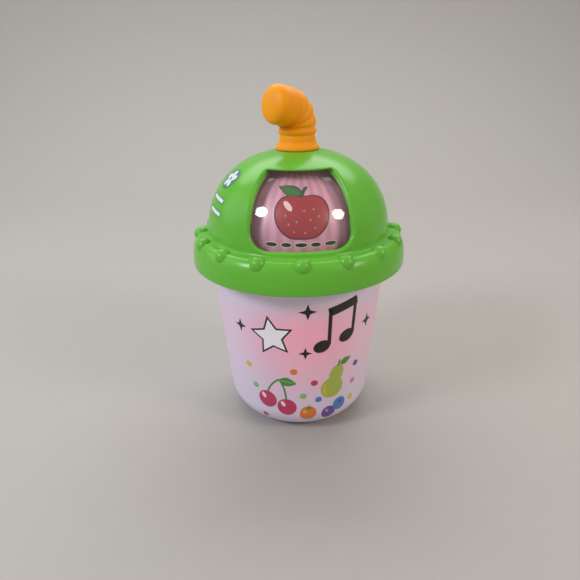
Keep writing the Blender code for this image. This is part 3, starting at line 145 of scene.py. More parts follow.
def linear(hex_colour):
    """An sRGB hex value as the linear red, green and blue that shaders take."""
    shares = [int(hex_colour[place:place + 2], 16) / 255 for place in (0, 2, 4)]
    return tuple(share / 12.92 if share <= 0.04045 else ((share + 0.055) / 1.055) ** 2.4 for share in shares)


def colour_property(name, description, hex_colour):
    return bpy.props.FloatVectorProperty(
        name=name, description=description, default=linear(hex_colour), subtype='COLOR', size=3, min=0, max=1)


class ToyBlenderColours(bpy.types.PropertyGroup):
    """Colours that a user would change."""
    lid: colour_property("Lid", "Green of the lid and the brim", "65B634")
    straw: colour_property("Straw", "Orange of the straw", "FA9E00")
    cup: colour_property("Cup", "Frosted white of the cup", "DBD1E3")
    glow: colour_property("Glow", "Pink light inside the cup", "FF6F92")
    floor: colour_property("Floor", "Pale floor and backdrop", "AAA6A0")


def sizes():
    return bpy.context.scene.toy_blender_sizes


def colours():
    return bpy.context.scene.toy_blender_colours


# Shared geometry of the object

def around(radius, azimuth):
    """Where a point lies at a radius and an azimuth from the front."""
    turn = radians(azimuth)
    return (radius * sin(turn), -radius * cos(turn))


def dome_point(turn, inset=0):
    """A point (radius, height) of the dome, or of a surface inset behind it."""
    radius = (DOME_RADIUS - inset) * cos(turn) ** (2 / DOME_POWER)
    return (radius, DOME_BASE + (DOME_RISE - inset) * sin(turn) ** (2 / DOME_POWER))


def dome_radius(height, inset=0):
    up = min(1, max(0, height - DOME_BASE) / (DOME_RISE - inset))
    return (DOME_RADIUS - inset) * (1 - up ** DOME_POWER) ** (1 / DOME_POWER)


def dome_height(radius, inset=0):
    across = radius / (DOME_RADIUS - inset)
    return DOME_BASE + (DOME_RISE - inset) * (1 - across ** DOME_POWER) ** (1 / DOME_POWER)


def dome_turn_at_radius(radius, inset=0):
    return acos((radius / (DOME_RADIUS - inset)) ** (DOME_POWER / 2))


def dome_turn_at_height(height, inset=0):
    up = min(1, max(0, height - DOME_BASE) / (DOME_RISE - inset))
    return asin(up ** (DOME_POWER / 2))


def dome_run(inset, first, last, steps):
    """Points up the dome between two turns about its middle."""
    return [dome_point(first + (last - first) * step / steps, inset) for step in range(steps + 1)]


def arc(centre, radius, first, last, steps):
    """Points (across, up) on an arc between two angles in degrees."""
    points = []
    for step in range(steps + 1):
        angle = radians(first + (last - first) * step / steps)
        points.append((centre[0] + radius * cos(angle), centre[1] + radius * sin(angle)))
    return points


def cup_radius(height, inset=0):
    return CUP_FOOT_RADIUS + CUP_LEAN_SHARE * height - inset * sqrt(1 + CUP_LEAN_SHARE ** 2)


# Working as by hand

def clear_selection():
    if bpy.context.object and bpy.context.object.mode != 'OBJECT':
        bpy.ops.object.mode_set(mode='OBJECT')
    bpy.ops.object.select_all(action='DESELECT')


def take(piece):
    """Selects one piece alone and makes it active."""
    clear_selection()
    piece.select_set(True)
    bpy.context.view_layer.objects.active = piece
    return piece


def edit(piece):
    take(piece)
    bpy.ops.object.mode_set(mode='EDIT')
    bpy.ops.mesh.select_all(action='SELECT')


def named(piece, name):
    piece.name = name
    piece.data.name = name
    return piece


def lathe(name, outline, sides=LATHE_SIDES, sweep=360, start=0):
    """Draws an outline of (radius, height) points by extruding a point, and spins it about the toy's axis."""
    clear_selection()
    bpy.ops.mesh.primitive_plane_add(size=MM)
    piece = named(bpy.context.object, name)
    edit(piece)
    bpy.ops.mesh.merge(type='CENTER')
    out = Vector((*around(1, start), 0))
    up = Vector((0, 0, 1))
    bpy.ops.transform.translate(value=out * outline[0][0] + up * outline[0][1])
    for here, there in zip(outline, outline[1:]):
        step = out * (there[0] - here[0]) + up * (there[1] - here[1])
        bpy.ops.mesh.extrude_region_move(TRANSFORM_OT_translate={"value": step})
    bpy.ops.mesh.select_all(action='SELECT')
    bpy.ops.mesh.remove_doubles(threshold=MERGE)
    bpy.ops.mesh.select_all(action='SELECT')
    bpy.ops.mesh.spin(steps=sides, angle=radians(sweep), center=(0, 0, 0), axis=(0, 0, 1))
    bpy.ops.mesh.select_all(action='SELECT')
    bpy.ops.mesh.remove_doubles(threshold=MERGE)
    bpy.ops.mesh.normals_make_consistent(inside=False)
    bpy.ops.object.mode_set(mode='OBJECT')
    return piece


def apply_modifier(piece, kind, **settings):
    """Adds a modifier to a piece and applies it."""
    take(piece)
    step = piece.modifiers.new(kind.title(), kind)
    for key, value in settings.items():
        setattr(step, key, value)
    bpy.ops.object.modifier_apply(modifier=step.name)
    return piece


def carve(piece, tool, operation='DIFFERENCE'):
    """Cuts a tool from a piece, or joins it on, and puts the tool away."""
    apply_modifier(piece, 'BOOLEAN', operation=operation, solver='EXACT', object=tool)
    bpy.data.objects.remove(tool, do_unlink=True)
    return piece


def finish_piece(piece, finish, body, replaced=(), angle=SMOOTH_ANGLE):
    """Smooths a piece, gives it its finish and sets it on its body."""
    take(piece)
    bpy.ops.object.shade_smooth_by_angle(angle=angle)
    piece.data.materials.clear()
    piece.data.materials.append(finish)
    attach(piece, body)
    if replaced:
        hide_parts(*replaced)
    return piece


# Finishes

def add_node(tree, kind, settings=None, inputs=None):
    """Adds a node with its settings, its values and the links that reach it."""
    made = tree.nodes.new(kind)
    for key, value in (settings or {}).items():
        setattr(made, key, value)
    for socket, value in (inputs or {}).items():
        if isinstance(value, bpy.types.NodeSocket):
            tree.links.new(value, made.inputs[socket])
        else:
            made.inputs[socket].default_value = value
    return made


def new_finish(name, colour, roughness, **more):
    """A material with its Principled shader's plain values set."""
    finish = bpy.data.materials.new(name)
    finish.use_nodes = True
    shader = finish.node_tree.nodes["Principled BSDF"]
    shader.inputs["Base Color"].default_value = (*colour, 1)
    shader.inputs["Roughness"].default_value = roughness
    for socket, value in more.items():
        shader.inputs[socket.replace("_", " ")].default_value = value
    finish.diffuse_color = (*colour, 1)
    return finish, finish.node_tree, shader


def per_metre(size):
    """The noise scale whose features are about one size across."""
    return 1 / size


def moulded(name, colour, roughness, grain=0.35 * MM, depth=0.02, variation=0.06, **more):
    """Moulded plastic. The skin is a little uneven, so its gloss wanders and its colour clouds slightly."""
    finish, tree, shader = new_finish(name, colour, roughness, IOR=1.5, **more)
    where = add_node(tree, "ShaderNodeTexCoord").outputs["Object"]
    cloud = add_node(tree, "ShaderNodeTexNoise", None,
                     {"Vector": where, "Scale": per_metre(14 * MM), "Detail": 2})
    dark = tuple(share * (1 - variation) for share in colour)
    light = tuple(min(1, share * (1 + variation)) for share in colour)
    tint = add_node(tree, "ShaderNodeMix", {"data_type": 'RGBA'},
                    {"Factor": cloud.outputs["Fac"], "A": (*dark, 1), "B": (*light, 1)})
    tree.links.new(tint.outputs["Result"], shader.inputs["Base Color"])
    skin = add_node(tree, "ShaderNodeTexNoise", None,
                    {"Vector": where, "Scale": per_metre(grain), "Detail": 3})
    gloss = add_node(tree, "ShaderNodeMapRange", None,
                     {"Value": skin.outputs["Fac"], "To Min": roughness * 0.85,
                                                        "To Max": roughness * 1.2})
    tree.links.new(gloss.outputs["Result"], shader.inputs["Roughness"])
    bump = add_node(tree, "ShaderNodeBump", None, {"Height": skin.outputs["Fac"], "Strength": depth,
                                                   "Distance": 0.1 * MM})
    tree.links.new(bump.outputs["Normal"], shader.inputs["Normal"])
    return finish


def painted_glow_spot(tree, where, place, reach, strength):
    """Painted glow: how brightly a lamp behind the wall is painted onto the cup at a point, fading to 0 at its
    reach.
    """
    gap = add_node(tree, "ShaderNodeVectorMath", {"operation": 'DISTANCE'}, {0: where, 1: place})
    return add_node(tree, "ShaderNodeMapRange", {"interpolation_type": 'SMOOTHSTEP'},
                    {"Value": gap.outputs["Value"], "From Min": 0, "From Max": reach, "To Min": strength,
                     "To Max": 0})


def frosted_cup_finish():
    """Frosted polypropylene, moulded with a fine spark texture; its skin gives only a wide dull highlight. The
    light of the pink lamps inside is painted on: a pink tint in the base colour and a pink emission in four broad
    soft spots, and the whole cup glows faintly."""
    finish, tree, shader = new_finish("frosted_polypropylene", colours().cup, 0.42, IOR=1.49)
    where = add_node(tree, "ShaderNodeTexCoord").outputs["Object"]
    glow = None
    # Painted glow: four soft spots where the lamps inside would light the wall
    for azimuth, reach, strength in ((4, 54, 1), (96, 60, 0.75), (180, 62, 0.8), (-100, 56, 0.5)):
        x, y = around(41 * MM, azimuth)
        near = painted_glow_spot(tree, where, (x, y, 60 * MM), reach * MM, strength).outputs["Result"]
        glow = near if glow is None else add_node(
            tree, "ShaderNodeMath", {"operation": 'MAXIMUM'}, {0: glow, 1: near}).outputs["Value"]
    patch = add_node(tree, "ShaderNodeTexNoise", None,
                     {"Vector": where, "Scale": per_metre(18 * MM), "Detail": 1})
    uneven = add_node(tree, "ShaderNodeMapRange", None, {"Value": patch.outputs["Fac"], "To Min": 0.86,
                                                         "To Max": 1.1})
    height = add_node(tree, "ShaderNodeSeparateXYZ", None, {"Vector": where}).outputs["Z"]
    # Painted shade: the painted glow fades away under the lid
    painted_shade_below_lid = add_node(tree, "ShaderNodeMapRange", {"interpolation_type": 'SMOOTHSTEP'},
                         {"Value": height, "From Min": 64 * MM, "From Max": 80 * MM, "To Min": 1, "To Max": 0.1})
    for share in (uneven, painted_shade_below_lid):
        glow = add_node(tree, "ShaderNodeMath", {"operation": 'MULTIPLY'},
                        {0: glow, 1: share.outputs["Result"]}).outputs["Value"]
    # The painted glow tints the base colour pink and drives a faint emission over the whole cup
    tint = add_node(tree, "ShaderNodeMix", {"data_type": 'RGBA'},
                    {"Factor": glow, "A": (*colours().cup, 1), "B": (*linear("EEAEBF"), 1)})
    tree.links.new(tint.outputs["Result"], shader.inputs["Base Color"])
    light = add_node(tree, "ShaderNodeMix", {"data_type": 'RGBA'},
                     {"Factor": glow, "A": (*linear("2A1C24"), 1), "B": (*colours().glow, 1)})
    tree.links.new(light.outputs["Result"], shader.inputs["Emission Color"])
    shader.inputs["Emission Strength"].default_value = 0.12
    grain = add_node(tree, "ShaderNodeTexNoise", None,
                     {"Vector": where, "Scale": per_metre(0.4 * MM), "Detail": 2})
    bump = add_node(tree, "ShaderNodeBump", None, {"Height": grain.outputs["Fac"], "Strength": 0.06,
                                                   "Distance": 0.1 * MM})
    tree.links.new(bump.outputs["Normal"], shader.inputs["Normal"])
    return finish


def lens_finish():
    """Clear acrylic pane, moulded and polished. It shows the picture behind it and mirrors the lamps.
    Light from the lamps passes it, so that the picture is lit."""
    finish, tree, shader = new_finish("clear_acrylic", linear("F2F6F6"), 0.03, IOR=1.49)
    shader.inputs["Transmission Weight"].default_value = 1
    film = add_node(tree, "ShaderNodeBsdfTransparent")
    path = add_node(tree, "ShaderNodeLightPath")
    both = add_node(tree, "ShaderNodeMixShader", None, {0: path.outputs["Is Shadow Ray"],
                                                        1: shader.outputs["BSDF"], 2: film.outputs["BSDF"]})
    tree.links.new(both.outputs["Shader"], tree.nodes["Material Output"].inputs["Surface"])
    return finish


def picture_finish():
    """Printed film on the drum: satin, with upright stripes 5.2 mm apart and another tint for each picture. A
    faint emission of the same colours is painted light that brightens it in the window's shaded recess.
    """
    finish, tree, shader = new_finish("printed_film", linear("8A5562"), 0.38, IOR=1.5)
    where = add_node(tree, "ShaderNodeTexCoord").outputs["Object"]
    parts = add_node(tree, "ShaderNodeSeparateXYZ", None, {"Vector": where})
    turn = add_node(tree, "ShaderNodeMath", {"operation": 'ARCTAN2'},
                    {0: parts.outputs["X"], 1: add_node(tree, "ShaderNodeMath", {"operation": 'MULTIPLY'},
                     {0: parts.outputs["Y"], 1: -1.0}).outputs["Value"]})
    stripes_round = 2 * pi * 36 * MM / (5.2 * MM)
    wave = add_node(tree, "ShaderNodeMath", {"operation": 'MULTIPLY'},
                    {0: turn.outputs["Value"], 1: round(stripes_round)})
    wave = add_node(tree, "ShaderNodeMath", {"operation": 'SINE'}, {0: wave.outputs["Value"]})
    band = add_node(tree, "ShaderNodeMapRange", None, {"Value": wave.outputs["Value"], "From Min": -0.7,
                                                       "From Max": 0.7})
    share = add_node(tree, "ShaderNodeMapRange", None, {"Value": turn.outputs["Value"], "From Min": -pi,
                                                        "From Max": pi})
    pair = []
    for tints in (("B98C62", "7490A0", "C28A98", "8CA066", "B98C62"),
                  ("AE7E54", "688696", "B27A88", "7F945B", "AE7E54")):
        ramp = add_node(tree, "ShaderNodeValToRGB", None, {"Fac": share.outputs["Result"]})
        ramp.color_ramp.interpolation = 'CONSTANT'
        stops = ramp.color_ramp.elements
        for place in (0.125, 0.375, 0.625):
            stops.new(place)
        stops[-1].position = 0.875
        for stop, tint in zip(stops, tints):
            stop.color = (*linear(tint), 1)
        pair.append(ramp.outputs["Color"])
    both = add_node(tree, "ShaderNodeMix", {"data_type": 'RGBA'},
                    {"Factor": band.outputs["Result"], "A": pair[0], "B": pair[1]})
    # Painted light: the film's own colours also drive a faint emission, brightening it in the window's shaded
    # recess
    for socket in ("Base Color", "Emission Color"):
        tree.links.new(both.outputs["Result"], shader.inputs[socket])
    shader.inputs["Emission Strength"].default_value = 0.14
    grain = add_node(tree, "ShaderNodeTexNoise", None,
                     {"Vector": where, "Scale": per_metre(0.6 * MM), "Detail": 2})
    gloss = add_node(tree, "ShaderNodeMapRange", None,
                     {"Value": grain.outputs["Fac"], "To Min": 0.3, "To Max": 0.45})
    tree.links.new(gloss.outputs["Result"], shader.inputs["Roughness"])
    return finish


def ink(name, hex_colour, roughness=0.35):
    """Pad-printed ink: a thin glossy film with slightly uneven cover."""
    return moulded(name, linear(hex_colour), roughness, grain=0.5 * MM, depth=0.01, variation=0.04)


def plated_steel():
    """Zinc-plated steel: a pale metal whose dull gloss is broken by fine cloudy plating."""
    finish, tree, shader = new_finish("zinc_plated_steel", linear("B4B6BA"), 0.34, Metallic=1.0)
    where = add_node(tree, "ShaderNodeTexCoord").outputs["Object"]
    cloud = add_node(tree, "ShaderNodeTexNoise", None,
                     {"Vector": where, "Scale": per_metre(0.7 * MM), "Detail": 3})
    gloss = add_node(tree, "ShaderNodeMapRange", None,
                     {"Value": cloud.outputs["Fac"], "To Min": 0.24, "To Max": 0.5})
    tree.links.new(gloss.outputs["Result"], shader.inputs["Roughness"])
    return finish


# Stage

def camera_place():
    """The photograph's camera, worked out from the outlines of the toy and of the plate under it."""
    turn = Matrix.Rotation(radians(-0.89), 4, 'Z') @ Matrix.Rotation(radians(65.73), 4, 'X')
    turn = turn @ Matrix.Rotation(radians(-0.9), 4, 'Z')
    return Matrix.Translation((-8.19 * MM, -233.86 * MM, 170.36 * MM)) @ turn


def add_camera():
    clear_selection()
    bpy.ops.object.camera_add()
    camera = named(bpy.context.object, "photo_camera")
    camera.matrix_world = camera_place()
    camera.data.sensor_width = 36
    camera.data.lens = 29.79
    camera.data.clip_start = 0.01
    camera.data.clip_end = 20
    bpy.context.scene.camera = camera


def add_lamp(name, place, target, size, power, tint="FFFFFF"):
    """A soft lamp that looks at a target."""
    clear_selection()
    bpy.ops.object.light_add(type='AREA', location=place)
    lamp = named(bpy.context.object, name)
    lamp.data.shape = 'ELLIPSE'
    lamp.data.size, lamp.data.size_y = size
    lamp.data.energy = power
    lamp.data.color = linear(tint)
    lamp.rotation_euler = (Vector(target) - Vector(place)).to_track_quat('-Z', 'Y').to_euler()
    return lamp


def add_backdrop():
    """A floor that curves up into a wall, drawn from a plane by extruding its back edge."""
    clear_selection()
    bpy.ops.mesh.primitive_plane_add(size=1)
    backdrop = named(bpy.context.object, "backdrop")
    edit(backdrop)
    bpy.ops.transform.resize(value=(3.4, 1.6, 1))
    bpy.ops.transform.translate(value=(0, -0.35, -0.0002))
    bpy.ops.mesh.select_all(action='DESELECT')
    bpy.ops.object.mode_set(mode='OBJECT')
    for edge in backdrop.data.edges:
        edge.select = all(backdrop.data.vertices[corner].co.y > 0 for corner in edge.vertices)
    bpy.ops.object.mode_set(mode='EDIT')
    bend, steps = 0.35, 16
    for step in range(steps):
        here, there = pi / 2 * step / steps, pi / 2 * (step + 1) / steps
        run = (0, bend * (sin(there) - sin(here)), bend * (cos(here) - cos(there)))
        bpy.ops.mesh.extrude_region_move(TRANSFORM_OT_translate={"value": run})
    bpy.ops.mesh.extrude_region_move(TRANSFORM_OT_translate={"value": (0, 0, 1.6)})
    bpy.ops.object.mode_set(mode='OBJECT')
    take(backdrop)
    bpy.ops.object.shade_smooth()
    backdrop.data.materials.append(moulded("painted_board", colours().floor, 0.7, grain=4 * MM,
                                           variation=0.02))


def add_world():
    """An even pale sky, so that a colour renders about as it is written."""
    world = bpy.data.worlds.new("studio")
    bpy.context.scene.world = world
    world.use_nodes = True
    sky = world.node_tree.nodes["Background"]
    sky.inputs["Color"].default_value = (*linear("EFF1F4"), 1)
    sky.inputs["Strength"].default_value = 0.47


class TOYBLENDER_OT_stage(bpy.types.Operator):
    """Add the floor, the soft lamps and the photograph's camera"""
    bl_idname = "toyblender.stage"
    bl_label = "Stage"

    def execute(self, context):
        context.scene.view_settings.view_transform = 'Standard'
        add_camera()
        add_world()
        add_backdrop()
        middle = (0, 0, 0.1)
        add_lamp("left_disc", (-0.57, -0.33, 0.55), middle, (0.22, 0.22), 2.8, "F0F4FF")
        add_lamp("right_disc", (0.60, -0.36, 0.48), middle, (0.22, 0.22), 1.9, "FFEADC")
        add_lamp("top_softbox", (0.0, 0.54, 0.88), middle, (1.8, 0.6), 8.5)
        add_lamp("left_softbox", (-1.15, 0.15, 0.55), middle, (0.8, 0.8), 1.6, "E8F0FF")
        return {'FINISHED'}


# Cup

def cup_outline():
    """The cup's wall, closed: down the outside, round the foot and up the inside."""
    centre = cup_radius(CUP_CORNER, CUP_CORNER)
    lean = degrees(atan(CUP_LEAN_SHARE))
    opening = 25.3 * MM
    lip = 22.8 * MM
    lip_bottom = 1.5 * MM
    floor_top = 3.8 * MM
    first = -degrees(acos((opening - centre) / CUP_CORNER))
    first_inside = -degrees(asin((CUP_CORNER - floor_top) / (CUP_CORNER - CUP_WALL)))
    outside = arc((centre, CUP_CORNER), CUP_CORNER, first, -lean, 20)
    inside = arc((centre, CUP_CORNER), CUP_CORNER - CUP_WALL, first_inside, -lean, 14)
    side = [(cup_radius(height * MM), height * MM) for height in (30, 50, 70)]
    top = CUP_HIGH.z
    outline = [(opening, lip_bottom)] + outside + side + [(cup_radius(top), top),
                                                          (cup_radius(top, CUP_WALL), top)]
    outline += inside[::-1] + [(lip, floor_top), (lip, lip_bottom), (opening, lip_bottom)]
    return outline


class TOYBLENDER_OT_cup(bpy.types.Operator):
    """Add the frosted cup"""
    bl_idname = "toyblender.cup"
    bl_label = "Cup"

    def execute(self, context):
        cup = lathe("cup", cup_outline())
        finish_piece(cup, frosted_cup_finish(), "housing", ["cup_shell"])
        return {'FINISHED'}


# Lid

def lid_outline():
    """The lid's wall, closed: up the brim and the dome outside, and back down inside."""
    swell = BRIM_RADIUS - BRIM_SHOULDER
    rise = BRIM_TOP - BRIM_WIDEST
    edge = arc((BRIM_RADIUS - BRIM_EDGE, LID_BOTTOM + BRIM_EDGE), BRIM_EDGE, -90, 0, 5)
    brim = [(BRIM_SHOULDER + swell * cos(pi / 2 * step / 22), BRIM_WIDEST + rise * sin(pi / 2 * step / 22))
            for step in range(23)]
    crease = arc((DOME_RADIUS + CREASE, DOME_BASE), CREASE, -90, -180, 7)
    last = dome_turn_at_radius(DOME_HOLE)
    dome = dome_run(0, 0, last, 44)[1:]
    inner_last = dome_turn_at_radius(DOME_HOLE, LID_WALL)
    inner_dome = dome_run(LID_WALL, 0, inner_last, 24)
    inner_swell, inner_rise = swell - LID_WALL, rise - LID_WALL
    inner_brim = [(BRIM_SHOULDER + inner_swell * cos(pi / 2 * step / 8),
                   BRIM_WIDEST + inner_rise * sin(pi / 2 * step / 8)) for step in range(9)]
    inner = [(BRIM_RADIUS - LID_WALL, LID_BOTTOM)] + inner_brim + [(DOME_RADIUS - LID_WALL,
                                                                    BRIM_TOP - LID_WALL)]
    inner += inner_dome
    outline = edge + brim + crease + dome + inner[::-1]
    return outline + outline[:1]


def add_bumps():
    """One ball sunk in the brim's shoulder and cut flat below, spun into a ring."""
    swell = BRIM_RADIUS - BRIM_SHOULDER
    rise = BRIM_TOP - BRIM_WIDEST
    turn = acos(BUMP_REACH_SHARE)
    lean = atan((cos(turn) / swell) / (sin(turn) / rise))
    radius = BRIM_SHOULDER + swell * BUMP_REACH_SHARE
    height = BRIM_WIDEST + rise * sin(turn)
    clear_selection()
    foot, proud = sizes().bump_radius, sizes().bump_height
    ball = (foot ** 2 + proud ** 2) / (2 * proud)
    bpy.ops.mesh.primitive_uv_sphere_add(segments=32, ring_count=24, radius=ball)
    bumps = named(bpy.context.object, "bumps")
    edit(bumps)
    bpy.ops.mesh.bisect(plane_co=(0, 0, -0.55 * MM), plane_no=(0, 0, -1), use_fill=True, clear_outer=True)
    bpy.ops.mesh.select_all(action='SELECT')
    bpy.ops.transform.translate(value=(0, 0, proud - ball))
    bpy.ops.object.mode_set(mode='OBJECT')
    bumps.rotation_euler = (lean, 0, 0)
    bumps.location = (0, -radius, height)
    take(bumps)
    bpy.ops.object.transform_apply(location=True, rotation=True, scale=True)
    edit(bumps)
    bpy.ops.mesh.spin(steps=BUMP_COUNT, dupli=True, angle=2 * pi, center=(0, 0, 0), axis=(0, 0, 1))
    bpy.ops.mesh.select_all(action='SELECT')
    bpy.ops.mesh.remove_doubles(threshold=MERGE)
    bpy.ops.mesh.normals_make_consistent(inside=False)
    bpy.ops.object.mode_set(mode='OBJECT')
    return bumps


def window_spread(height):
    """How much the window's sides spread towards its top, so that they look straight from the front."""
    return 1 + 0.11 * (max(0, height - 120 * MM) / (12 * MM)) ** 2


def window_loop(grow):
    """The window's rounded outline as (azimuth, height) points, grown all round by a distance."""
    middle = dome_radius((WINDOW_BOTTOM + WINDOW_TOP) / 2)
    points = []
    low, high = sizes().window_low_corner, sizes().window_high_corner
    corners = ((1, -1, low, -90), (1, 1, high, 0), (-1, 1, high, 90), (-1, -1, low, 180))
    for side, upper, corner, first in corners:
        height = WINDOW_TOP - corner if upper > 0 else WINDOW_BOTTOM + corner
        for across, up in arc((0, height), corner + grow, first, first + 90, 12):
            reach = dome_radius(height)
            azimuth = side * (WINDOW_HALF_ANGLE - degrees(corner / reach)) + degrees(across / reach)
            points.append((azimuth * window_spread(up), up))
    filled = []
    for here, there in zip(points, points[1:] + points[:1]):
        run = max(abs(there[0] - here[0]) * radians(1) * middle, abs(there[1] - here[1]))
        pieces = max(1, round(run / (1.6 * MM)))
        filled += [(here[0] + (there[0] - here[0]) * step / pieces,
                    here[1] + (there[1] - here[1]) * step / pieces)
                   for step in range(pieces)]
    return filled


def loft(name, loops):
    """A closed solid skinned over flat loops of (radius, azimuth, height) points."""
    solid = bmesh.new()
    rings = [[solid.verts.new((*around(radius, azimuth), height)) for radius, azimuth, height in loop]
             for loop in loops]
    for first, second in zip(rings, rings[1:]):
        for number in range(len(first)):
            after = (number + 1) % len(first)
            solid.faces.new((first[number], first[after], second[after], second[number]))
    solid.faces.new(rings[0])
    solid.faces.new(rings[-1])
    bmesh.ops.recalc_face_normals(solid, faces=solid.faces)
    mesh = bpy.data.meshes.new(name)
    solid.to_mesh(mesh)
    solid.free()
    piece = bpy.data.objects.new(name, mesh)
    bpy.context.scene.collection.objects.link(piece)
    return piece


def flat_loop(grow, distance):
    """The window's outline on an upright plane in front of the axis."""
    return [(distance / cos(radians(azimuth)), azimuth, height) for azimuth, height in window_loop(grow)]


def dome_loop(grow, inset):
    """The window's outline on the dome, or on a surface inset behind it."""
    return [(dome_radius(height, inset), azimuth, height) for azimuth, height in window_loop(grow)]


def window_cutter():
    """A plug through the dome whose flared rim rounds the window's outer edge."""
    lip = sizes().window_lip
    loops = [flat_loop(0, 12 * MM), dome_loop(0, lip)]
    for angle in (20, 40, 60, 78):
        turn = radians(angle)
        loops.append(dome_loop(lip * (1 - cos(turn)), lip * (1 - sin(turn))))
    return loft("window_cutter", loops + [flat_loop(lip * 0.85, BRIM_RADIUS + 4 * MM)])


def rebate_cutter():
    """A wider plug that thins the wall round the window from inside."""
    return loft("rebate_cutter", [flat_loop(REBATE_LAP, 12 * MM), dome_loop(REBATE_LAP, REBATE_INSET)])


class TOYBLENDER_OT_lid(bpy.types.Operator):
    """Add the domed lid with its brim, bumps and window"""
    bl_idname = "toyblender.lid"
    bl_label = "Lid"

    def execute(self, context):
        lid = lathe("lid", lid_outline())
        carve(lid, add_bumps(), 'UNION')
        carve(lid, rebate_cutter())
        carve(lid, window_cutter())
        # ABS, injection moulded and polished: an even green with sharp lamp reflections
        finish = moulded("polished_green_abs", colours().lid, 0.24, grain=1.6 * MM, depth=0.012,
                         variation=0.03,
                         Specular_IOR_Level=0.36)
        finish_piece(lid, finish, "housing", ["lid_shell"])
        return {'FINISHED'}


class TOYBLENDER_OT_lens(bpy.types.Operator):
    """Add the clear curved pane of the window"""
    bl_idname = "toyblender.lens"
    bl_label = "Window lens"

    def execute(self, context):
        first = dome_turn_at_height(DOME_BASE, LENS_INSET)
        last = dome_turn_at_height(LENS_HIGH.z, LENS_INSET)
        outline = [(DOME_RADIUS - LENS_INSET, LENS_LOW.z)] + dome_run(LENS_INSET, first, last, 28)
        lens = lathe("lens", outline, sides=64, sweep=2 * LENS_HALF_ANGLE, start=LENS_HALF_ANGLE)
        apply_modifier(lens, 'SOLIDIFY', thickness=sizes().lens_thickness, offset=-1)
        finish_piece(lens, lens_finish(), "housing", ["window_lens"], angle=radians(50))
        return {'FINISHED'}


# Turning pieces

class TOYBLENDER_OT_drum(bpy.types.Operator):
    """Add the striped picture film that turns behind the window"""
    bl_idname = "toyblender.drum"
    bl_label = "Picture drum"

    def execute(self, context):
        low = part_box("picture_sleeve")[0].z
        top_radius = 14 * MM
        outside = [(DOME_RADIUS - SLEEVE_INSET, low)]
        outside += dome_run(SLEEVE_INSET, 0, dome_turn_at_radius(top_radius, SLEEVE_INSET), 32)
        inset = SLEEVE_INSET + 0.5 * MM
        inside = [(DOME_RADIUS - inset, low)] + dome_run(inset, 0, dome_turn_at_radius(top_radius, inset), 32)
        outline = outside + inside[::-1] + outside[:1]
        film = lathe("picture_film", outline)
        finish_piece(film, picture_finish(), "straw_and_drum", ["picture_sleeve"])
        return {'FINISHED'}


def straw_base():
    """Height of the collar's lower rim over the dome."""
    return dome_height(COLLAR_RADIUS) + 0.3 * MM


def straw_line():
    """The straw's middle line: upright, round the bend and straight on."""
    x, y = around(1, STRAW_AZIMUTH)
    ahead, up = Vector((x, y, 0)), Vector((0, 0, 1))
    corner = straw_base() + STRAW_UPRIGHT
    points = [up * STRAW_LOW, up * corner]
    steps = 60
    for step in range(1, steps + 1):
        turn = radians(STRAW_BEND_ANGLE) * step / steps
        points.append(up * (corner + STRAW_BEND_RADIUS * sin(turn)) + ahead * STRAW_BEND_RADIUS * (1 - cos(turn)))
    turn = radians(STRAW_BEND_ANGLE)
    onward = up * cos(turn) + ahead * sin(turn)
    points.append(points[-1] + onward * (STRAW_REACH + 4 * MM))
    return points


def add_straw_curve():
    clear_selection()
    line = straw_line()
    curve = bpy.data.curves.new("straw_line", 'CURVE')
    curve.dimensions = '3D'
    curve.use_deform_bounds = False
    spline = curve.splines.new('POLY')
    spline.points.add(len(line) - 1)
    for place, point in zip(spline.points, line):
        place.co = (*(point - line[0]), 1)
    path = bpy.data.objects.new("straw_line", curve)
    bpy.context.scene.collection.objects.link(path)
    return path


def straw_profile(along):
    """The straw's outer radius at a distance from the collar's rim."""
    pitch, rib = sizes().straw_pitch, sizes().straw_rib
    valley = STRAW_RADIUS - rib
    neck = STRAW_RADIUS
    if along < COLLAR_RIM:
        return COLLAR_RADIUS
    if along < COLLAR_HEIGHT:
        flare = (COLLAR_HEIGHT - along) / (COLLAR_HEIGHT - COLLAR_RIM)
        return neck + (COLLAR_RADIUS - neck) * flare ** 1.3
    if along < STRAW_RIB_START:
        return neck + (valley - neck) * ((along - COLLAR_HEIGHT) / (STRAW_RIB_START - COLLAR_HEIGHT)) ** 2
    if STRAW_RIB_START < along < STRAW_RIB_START + STRAW_RIB_COUNT * pitch:
        wave = (1 - cos(2 * pi * (along - STRAW_RIB_START) / pitch)) / 2
        return valley + 2 * rib * wave ** 0.6
    return (valley + rib * min(1, max(0, along - STRAW_RIB_START) / pitch)) * end_share(along)


def end_share(along):
    """How much of its radius the straw still has, towards its softly rounded end."""
    past = (along - straw_length() + STRAW_END_ROUNDING) / (STRAW_END_ROUNDING + STRAW_CAP_REACH)
    return (1 - min(1, max(0, past)) ** 2.5) ** (1 / 2.5)


def bend_along(piece, path):
    """Bends a straight turned piece along the straw's middle line."""
    apply_modifier(piece, 'CURVE', object=path, deform_axis='POS_Z')
    edit(piece)
    bpy.ops.transform.translate(value=(0, 0, STRAW_LOW))
    bpy.ops.object.mode_set(mode='OBJECT')
    return piece


def straw_length():
    return STRAW_UPRIGHT + STRAW_BEND_RADIUS * radians(STRAW_BEND_ANGLE) + STRAW_REACH


def straw_outline():
    """The straw's wall as a closed outline of (radius, distance along)."""
    base = straw_base() - STRAW_LOW
    spigot, flange, bore = 6.0 * MM, 8.7 * MM, 6.45 * MM
    recess = base + 1.42 * MM
    length = straw_length()
    outline = [(1.3 * MM, 0), (spigot, 0), (spigot, recess), (flange, recess), (flange, base)]
    steps = 110
    for step in range(steps + 1):
        along = length * step / steps
        radius = straw_profile(along)
        outline.append((radius, base + along))
    inner_steps = 48
    floor = base + 4 * MM
    outline += [(bore,
                 base + length + (floor - base - length) * step / inner_steps) for step in range(inner_steps + 1)]
    outline += [(4.2 * MM, base + 3 * MM), (4.2 * MM, 4.6 * MM), (1.3 * MM, 4.6 * MM), (1.3 * MM, 0)]
    return outline


